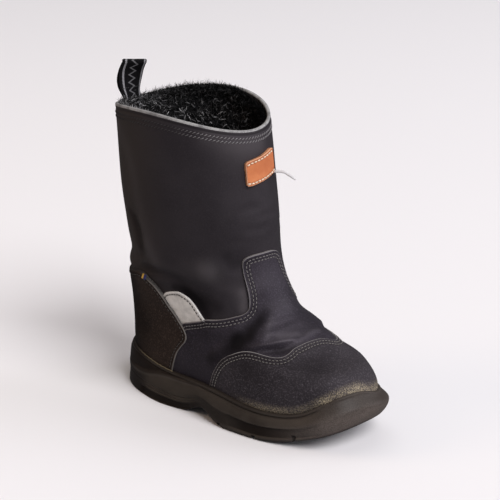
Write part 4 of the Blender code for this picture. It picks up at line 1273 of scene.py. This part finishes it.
def soleMasks(points):  # where the side is lighter on its ridges (rubbed wear and painted highlight), dusty, lighter in a band (painted light), darker in its recesses and near the ground (painted shade) and darker toward the heel's back
    x = points[:, 0]
    height = (points[:, 2] - underside(x)) / np.maximum(rimHeight(x, points[:, 1]) - underside(x), 0.004)
    crest = lineValue(sole["crest"], x)
    behind, ahead = 1 - smoothStep(x, -0.012, 0.004), smoothStep(x, 0.126, 0.140)
    heel = 1 - smoothStep(x, 0.03, 0.06)
    # ridge: lighter crest, lip and ledges, partly rubbed wear and partly painted highlight
    ridge = (bell(height, crest - 0.03, 0.028) - bell(height, crest - 0.10, 0.02) * 0.5) * heel
    ridge = ridge + bell(height, 0.95, 0.03) * 0.4 * (1 - behind)
    ledges = bell(height, 0.10, 0.06) + bell(height, 0.56, 0.03)
    ridge = ridge + ledges * 0.8 * smoothStep(x, 0.05, 0.07) * (1 - ahead)
    # painted light: the band of the side is lighter
    band = inBand(height, (0.18, 0.30), (crest - 0.03, crest)) * heel * (1 - behind)
    band = band + inBand(height, (0.50, 0.56), (0.80, 0.88)) * (1 - heel) * (1 - ahead)
    lip = smoothStep(height, 0.95, 0.99) * (1 - behind)
    # low: painted shade in the hollow above the heel's crest, near the ground and in the ball's recessed
    # block; also darker toward the heel's back
    low = smoothStep(height, crest, crest + 0.05) * (1 - lip) * heel * 1.3
    ground = 1 - smoothStep(height, 0.16, 0.28)
    low = low + (ground + behind * (1 - smoothStep(height, crest - 0.1, crest))) * heel
    block = inBand(x, (0.078, 0.090), (0.114, 0.124))
    low = low + inBand(height, (0.12, 0.17), (0.48, 0.54)) * block * (1 - heel)
    bumper = smoothStep(height, 0.0, 0.12) * (1 - 0.68 * smoothStep(height, 0.34, 0.75))
    return {"ridge": ridge, "bumper": bumper, "band": band, "low": low}


def makeSole():
    angles = np.arange(sole["columns"]) * 360 / sole["columns"]
    foot, outward = skin(angles, rimLevel(angles)), rimOutward(angles)
    rows = [soleWall(foot, outward)]
    for level in sole["bed"]:
        point = skin(angles, rimLevel(angles) * level) + outward * soleForm["bed"]
        point[:, 2] -= 0 if level else soleForm["bed"]
        rows.append(point[None])
    points = np.concatenate(rows)
    rowCount, count = points.shape[:2]
    faces = gridFaces(rowCount, count, closed=True).tolist()
    for start, order in ((0, -1), ((rowCount - 1) * count, 1)):
        for i in range(count // 2):
            corners = [start + i, start + i + 1, start + (count - i - 1) % count, start + (count - i) % count]
            corners = [c for k, c in enumerate(corners) if c not in corners[:k]]
            faces.append(corners[::order])
    points, faces = cutBy(points.reshape(-1, 3).tolist(), faces, *treadCutter())
    piece = makePiece("mouldedSole", points, faces, [rubberFinish()],
                      values=soleMasks(points), sharp=38)
    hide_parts("outsole")


makeSole()


def feltFinish():
    finish, tree, shader = newFinish("insoleFelt", (0.05, 0.05, 0.055), 0.95, Sheen_Weight=0.2)
    fibres = noise(tree, ownPlace(tree), 900.0, 6.0, 0.75, 0.8)
    color = mixColor(tree, fibres, (0.025, 0.025, 0.028), (0.085, 0.085, 0.09))
    tree.links.new(color, shader.inputs["Base Color"])
    bumpOn(tree, shader, fibres, 0.6, 0.0005)
    return finish


felt = feltFinish()
for materialSlot in bpy.data.objects["insole"].material_slots:
    materialSlot.material = felt
print("sole and insole made")


# The pull loop, folded and twisted, its stripes and its stitches
def webbingFinish():
    look = {
        "color": (0.0040, 0.0038, 0.0044), "pale": (0.0085, 0.0082, 0.0092),
        "stripe": (0.30, 0.295, 0.31), "zigzag": (0.13, 0.128, 0.134),
        "repeat": 5.2, "ribs": 15, "pick": 0.9,  # zigzag and pick in mm, ribs across the width
        "stripes": ((0.17, 0.045), (0.93, 0.035)),  # middle and half width as shares of the width
    }
    finish, tree, shader = newFinish("webbing", look["color"], 0.9, 0.06)
    across, along = attributeOf(tree, "across"), attributeOf(tree, "along")
    ribs = mathNode(tree, "SINE", times(tree, across, 2 * math.pi * look["ribs"]))
    lean = mathNode(tree, "ADD", times(tree, along, 2 * math.pi / look["pick"]),
                    times(tree, ribs, 1.2))
    picks = mathNode(tree, "SINE", lean)
    weave = mathNode(tree, "ADD", times(tree, ribs, 0.5), times(tree, picks, 0.6))
    color = mixColor(tree, spread(tree, weave, -0.9, 0.9), look["color"], look["pale"])
    turns = mathNode(tree, "PINGPONG", mathNode(tree, "DIVIDE", along, look["repeat"]), 0.5)
    line = mathNode(tree, "ADD", times(tree, turns, 0.5), 0.42)
    line = mathNode(tree, "SUBTRACT", across, line)
    line = spread(tree, mathNode(tree, "ABSOLUTE", line), 0.030, 0.055, 1.0, 0.0)
    color = mixColor(tree, line, color, look["zigzag"])
    for centre, half in look["stripes"]:
        off = mathNode(tree, "ABSOLUTE", mathNode(tree, "SUBTRACT", across, centre))
        mask = spread(tree, off, half * 0.7, half, 1.0, 0.0)
        mask = times(tree, mask, spread(tree, picks, -1.0, 0.4, 0.35, 1.0))
        color = mixColor(tree, mask, color, look["stripe"])
    tree.links.new(color, shader.inputs["Base Color"])
    bumpOn(tree, shader, weave, 0.6, 0.00025)
    return finish


def makePullLoop():
    loop = {
        "width": 0.0160, "thickness": 0.0011, "wall": 0.0026, "inset": 0.0038,
        "collarRadius": 0.036, "held": (0.0015, 0.0085),
        "marks": 64, "bendMarks": 11, "acrossMarks": 25, "seamMarks": (20, 25),
        # height above the collar, lean back, half the gap between the legs, turn in degrees, sideways
        "path": ((-0.0095, 0.0040, 0.0008, 0, -0.0028), (-0.0015, 0.0041, 0.0008, 0, -0.0028),
                 (0.0045, 0.0048, 0.0009, 4, -0.0030), (0.0090, 0.0060, 0.0016, 14, -0.0024),
                 (0.0135, 0.0070, 0.0021, 26, -0.0010), (0.0185, 0.0064, 0.0021, 39, 0.0),
                 (0.0225, 0.0044, 0.0018, 47, 0.0), (0.0247, 0.0030, 0.0015, 50, 0.0)),
    }
    back = skin(0.0, float(topLevel))
    places = np.linspace(0, len(loop["path"]) - 1, loop["marks"])
    rise, lean, gap, turn, sideShift = smoothRows(loop["path"], places).T
    turn = np.radians(turn)
    zero = np.zeros(len(turn))
    across = np.stack((np.sin(turn), np.cos(turn), zero), -1)
    out = np.stack((np.cos(turn), -np.sin(turn), zero), -1)
    middle = np.stack((back[0] + loop["wall"] + loop["inset"] - lean, sideShift, back[2] + rise), -1)
    front, rear = middle + out * gap[:, None], middle - out * gap[:, None]
    bends = np.radians(np.linspace(15, 165, loop["bendMarks"]))[:, None]
    bend = middle[-1] + out[-1] * gap[-1] * np.cos(bends) + np.array((0, 0, 1)) * gap[-1] * np.sin(bends)
    path = np.concatenate((front, bend, rear[::-1]))
    sideways = np.concatenate((across, np.tile(across[-1], (len(bends), 1)), across[::-1]))
    along = unit(np.gradient(path, axis=0))
    outward = unit(np.cross(along, sideways))
    marks = loop["acrossMarks"]
    s = np.concatenate((np.linspace(-1, 1, marks), np.linspace(1, -1, marks)[1:-1]))
    t = np.sqrt(np.maximum(1 - np.abs(s) ** 18, 0)) * np.where(np.arange(len(s)) < marks, 1, -1)
    t[np.abs(s) == 1] = 0
    steps = np.concatenate(([0], np.cumsum(np.linalg.norm(np.diff(path, axis=0), axis=1)))) * 1000
    wave = 0.00012 * np.sin(steps / 2.3)[:, None] * s[None] ** 2
    points = (path[:, None] + sideways[:, None] * s[None, :, None] * loop["width"] / 2
              + outward[:, None] * (t[None, :] * loop["thickness"] / 2 + wave)[..., None])
    # the ends follow the collar's curve and come free of it above the edge
    held = 1 - smoothStep(path[:, 2] - back[2], *loop["held"])
    points[..., 0] += held[:, None] * points[..., 1] ** 2 / (2 * loop["collarRadius"])
    rowCount, count = points.shape[:2]
    faces = gridFaces(rowCount, count, closed=True).tolist()
    faces += [list(range(count))[::-1], list(range((rowCount - 1) * count, rowCount * count))]
    piece = makePiece("pullLoop", points.reshape(-1, 3), faces, [webbingFinish()],
                      values={"across": np.tile((s + 1) / 2, rowCount), "along": np.repeat(steps, count)},
                      sharp=60)
    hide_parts("pull_loop")
    rows = [path[k] + sideways[k] * np.linspace(-0.44, 0.44, 20)[:, None] * loop["width"]
            for k in loop["seamMarks"]]
    makeStitches("loopStitches", [(surfaceOf(piece), row) for row in rows], loopThread,
                 length=1.6, pitch=2.2, radius=0.26)


makePullLoop()


# Small loose things: the woven side tag and the thread ends
def makeTag():
    tag = {
        "angles": (65.2, 69.2), "levels": (5.80, 5.93), "proud": (3.6, 2.6), "thickness": 0.0006,
        "rows": 9, "columns": 17, "picks": 12,
        "gold": (0.54, 0.32, 0.05), "blue": (0.022, 0.026, 0.12),
    }
    rowCount, columnCount = tag["rows"], tag["columns"]
    flat = rowCount * columnCount
    level, angle = np.meshgrid(np.linspace(*tag["levels"], rowCount),
                               np.linspace(*tag["angles"], columnCount), indexing="ij")
    point, out, _, _ = skinFrame(angle, level)
    low, high = tag["proud"]
    lift = low + (high - low) * (level - tag["levels"][0]) / (tag["levels"][1] - tag["levels"][0])
    lift = lift / 1000 + relief(angle, level)
    top = point + out * lift[..., None]
    base = top - out * tag["thickness"]
    points = np.concatenate((top.reshape(-1, 3), base.reshape(-1, 3)))
    faces = gridFaces(rowCount, columnCount).tolist()
    faces += gridFaces(rowCount, columnCount, start=flat)[:, ::-1].tolist()
    border, _ = borderOf(rowCount, columnCount)
    ring = border[:, 0] * columnCount + border[:, 1]
    faces += np.stack((ring + flat, np.roll(ring, -1) + flat, np.roll(ring, -1), ring), -1).tolist()
    finish, tree, shader = newFinish("wovenTag", (0.02, 0.05, 0.25), 0.7)
    across = attributeOf(tree, "across")
    picks = mathNode(tree, "SINE", times(tree, across, 2 * math.pi * tag["picks"]))
    color = mixColor(tree, spread(tree, across, 0.44, 0.52), tag["gold"], tag["blue"])
    color = mixColor(tree, spread(tree, picks, 0.2, 1.0, 0.0, 0.35), color, (0.01, 0.01, 0.015))
    tree.links.new(color, shader.inputs["Base Color"])
    bumpOn(tree, shader, picks, 0.5, 0.0002)
    values = np.tile(np.linspace(0, 1, columnCount), 2 * rowCount)
    makePiece("sideTag", points, faces, [finish], values={"across": values}, sharp=50)


def makeThread(name, path, normals, radii, finish):
    tube, faces = tubeAlong(path, normals, np.array(radii) / 1000, sides=8)
    makePiece(name, tube, faces, [finish])


def makeFeatherThread():  # along the sole's rim, round the heel
    thread = {"angles": (-64, 66), "out": 2.9, "radius": 0.36, "marks": 240}  # out and radius in mm
    angles = np.linspace(*thread["angles"], thread["marks"])
    outward = rimOutward(angles)
    path = skin(angles, rimLevel(angles)) + outward * thread["out"] / 1000
    path[:, 2] += 0.0001 + seeded.normal(0, 0.00003, len(path))
    marks = np.arange(thread["marks"])
    path += outward * (0.00012 * np.sin(marks * 0.9))[:, None]
    radii = thread["radius"] * (1 + 0.12 * np.sin(marks * 1.7))
    makeThread("featherThread", path, outward, radii, tanThread)


def makeLooseThread():  # hangs from the patch
    thread = {
        "start": (194.6, 9.02), "lift": 0.0010, "marks": 24,
        "right": (0.766, 0.643, 0.0),
        # mm to the right, outwards and up
        "reach": ((0, 0, 0), (3.2, 0.3, 0.2), (6.6, 0.6, -0.3), (10.2, 0.9, -2.6), (13.4, 1.3, -5.4)),
        "radii": ((0, 0.60), (4, 1.00), (18, 0.92), (23, 0.60)),  # mark and mm
    }
    start, outward, _, _ = skinFrame(*np.array(thread["start"]))
    places = np.linspace(0, len(thread["reach"]) - 1, thread["marks"])
    reach = smoothRows(thread["reach"], places) / 1000
    right, up = np.array(thread["right"]), np.array((0.0, 0.0, 1.0))
    path = start + outward * thread["lift"] + reach[:, :1] * right
    path = path + reach[:, 1:2] * outward + reach[:, 2:] * up
    radii = np.interp(np.arange(thread["marks"]), *zip(*thread["radii"]))
    makeThread("looseThread", path, np.tile(up, (thread["marks"], 1)), radii, paleThread)


def makeFrayedThreads():  # short ends at the reflector's front edge
    frayed = {
        "count": 9, "start": (104.5, 4.80), "aside": 0.0006, "upDown": 0.004, "lift": 0.0008,
        "marks": 4, "length": 0.0011, "bend": 0.0007, "radius": 0.00009,
    }
    tip, tipOut, along, upward = skinFrame(*np.array(frayed["start"]))
    points, faces, count, marks = [], [], 0, frayed["marks"]
    for _ in range(frayed["count"]):
        start = (tip + along * seeded.normal(0, frayed["aside"])
                 + upward * seeded.uniform(-frayed["upDown"], frayed["upDown"]))
        heading = unit(along * 0.8 + tipOut * 0.5 + upward * seeded.normal(0, 0.6))
        bendTo = unit(heading + seeded.normal(0, 0.5, 3))
        line = start + tipOut * frayed["lift"] + heading * np.linspace(0, frayed["length"], marks)[:, None]
        line = line + bendTo * (np.linspace(0, 1, marks)[:, None] ** 2) * frayed["bend"]
        tube, tubeFaces = tubeAlong(line, np.tile(upward + 0.01, (marks, 1)),
                                    np.full(marks, frayed["radius"]), 5, count)
        points.append(tube)
        faces += tubeFaces
        count += len(tube)
    makePiece("frayedThreads", np.concatenate(points), faces, [paleThread])


makeTag()
makeFeatherThread()
makeLooseThread()
makeFrayedThreads()
print("loop, tag and threads made")


# Floor, light and camera
studio = {
    "floor": (0.805, 0.79, 0.80), "halfSide": 6.0, "world": (0.92, 0.90, 0.92), "worldStrength": 0.15,
    # name, place, aimed at, size, power, colour
    "lamps": (
        ("keySoft", (6.35, -1.60, 7.00), (0.05, 0.0, 0.05), 5.7, 868.0, (1.0, 0.985, 1.0)),
        ("topSoft", (-0.8, 0.7, 3.1), (-0.2, 0.2, 0.0), 4.0, 25.0, (1.0, 1.0, 1.0)),
        ("rightSoft", (2.2, 1.9, 1.3), (0.0, 0.0, 0.10), 2.5, 46.0, (0.93, 0.92, 1.0)),
        ("leftSoft", (-1.1, -0.9, 1.0), (0.0, 0.0, 0.15), 0.8, 5.0, (1.0, 0.74, 0.54)),
    ),
}


def aim(thing, target):
    thing.rotation_mode = "QUATERNION"
    thing.rotation_quaternion = (Vector(target) - thing.location).to_track_quat("-Z", "Y")


def makeStudio():
    side = studio["halfSide"]
    floorMesh = bpy.data.meshes.new("floor")
    floorMesh.from_pydata([(-side, -side, 0), (side, -side, 0), (side, side, 0), (-side, side, 0)], [],
                          [(0, 1, 2, 3)])
    floor = newObject("floor", floorMesh)
    floorMesh.materials.append(newFinish("floorPaper", studio["floor"], 0.7)[0])
    floor.visible_glossy = False
    world = bpy.data.worlds.new("paleStudio")
    world.use_nodes = True
    sky = world.node_tree.nodes["Background"]
    sky.inputs["Color"].default_value = (*studio["world"], 1)
    sky.inputs["Strength"].default_value = studio["worldStrength"]
    bpy.context.scene.world = world
    bpy.context.scene.view_settings.view_transform = "Standard"
    for name, spot, target, size, power, color in studio["lamps"]:
        lamp = bpy.data.lights.new(name, "AREA")
        lamp.shape, lamp.size, lamp.energy, lamp.color = "DISK", size, power, color
        holder = newObject(name, lamp)
        holder.location = spot
        aim(holder, target)


def makeCamera():
    shot = {"target": (0.050, 0.0, 0.0985), "distance": 1.1, "azimuth": 40, "elevation": 20.5,
            "lens": 121.7, "shift": (0.027, 0.025)}
    lens = bpy.data.cameras.new("camera")
    lens.sensor_width, lens.lens = 36, shot["lens"]
    lens.shift_x, lens.shift_y = shot["shift"]
    camera = newObject("camera", lens)
    around, above = math.radians(shot["azimuth"]), math.radians(shot["elevation"])
    level = math.cos(above)
    back = Vector((math.sin(around) * level, -math.cos(around) * level, math.sin(above)))
    camera.location = Vector(shot["target"]) + back * shot["distance"]
    aim(camera, shot["target"])
    bpy.context.scene.camera = camera


makeStudio()
makeCamera()
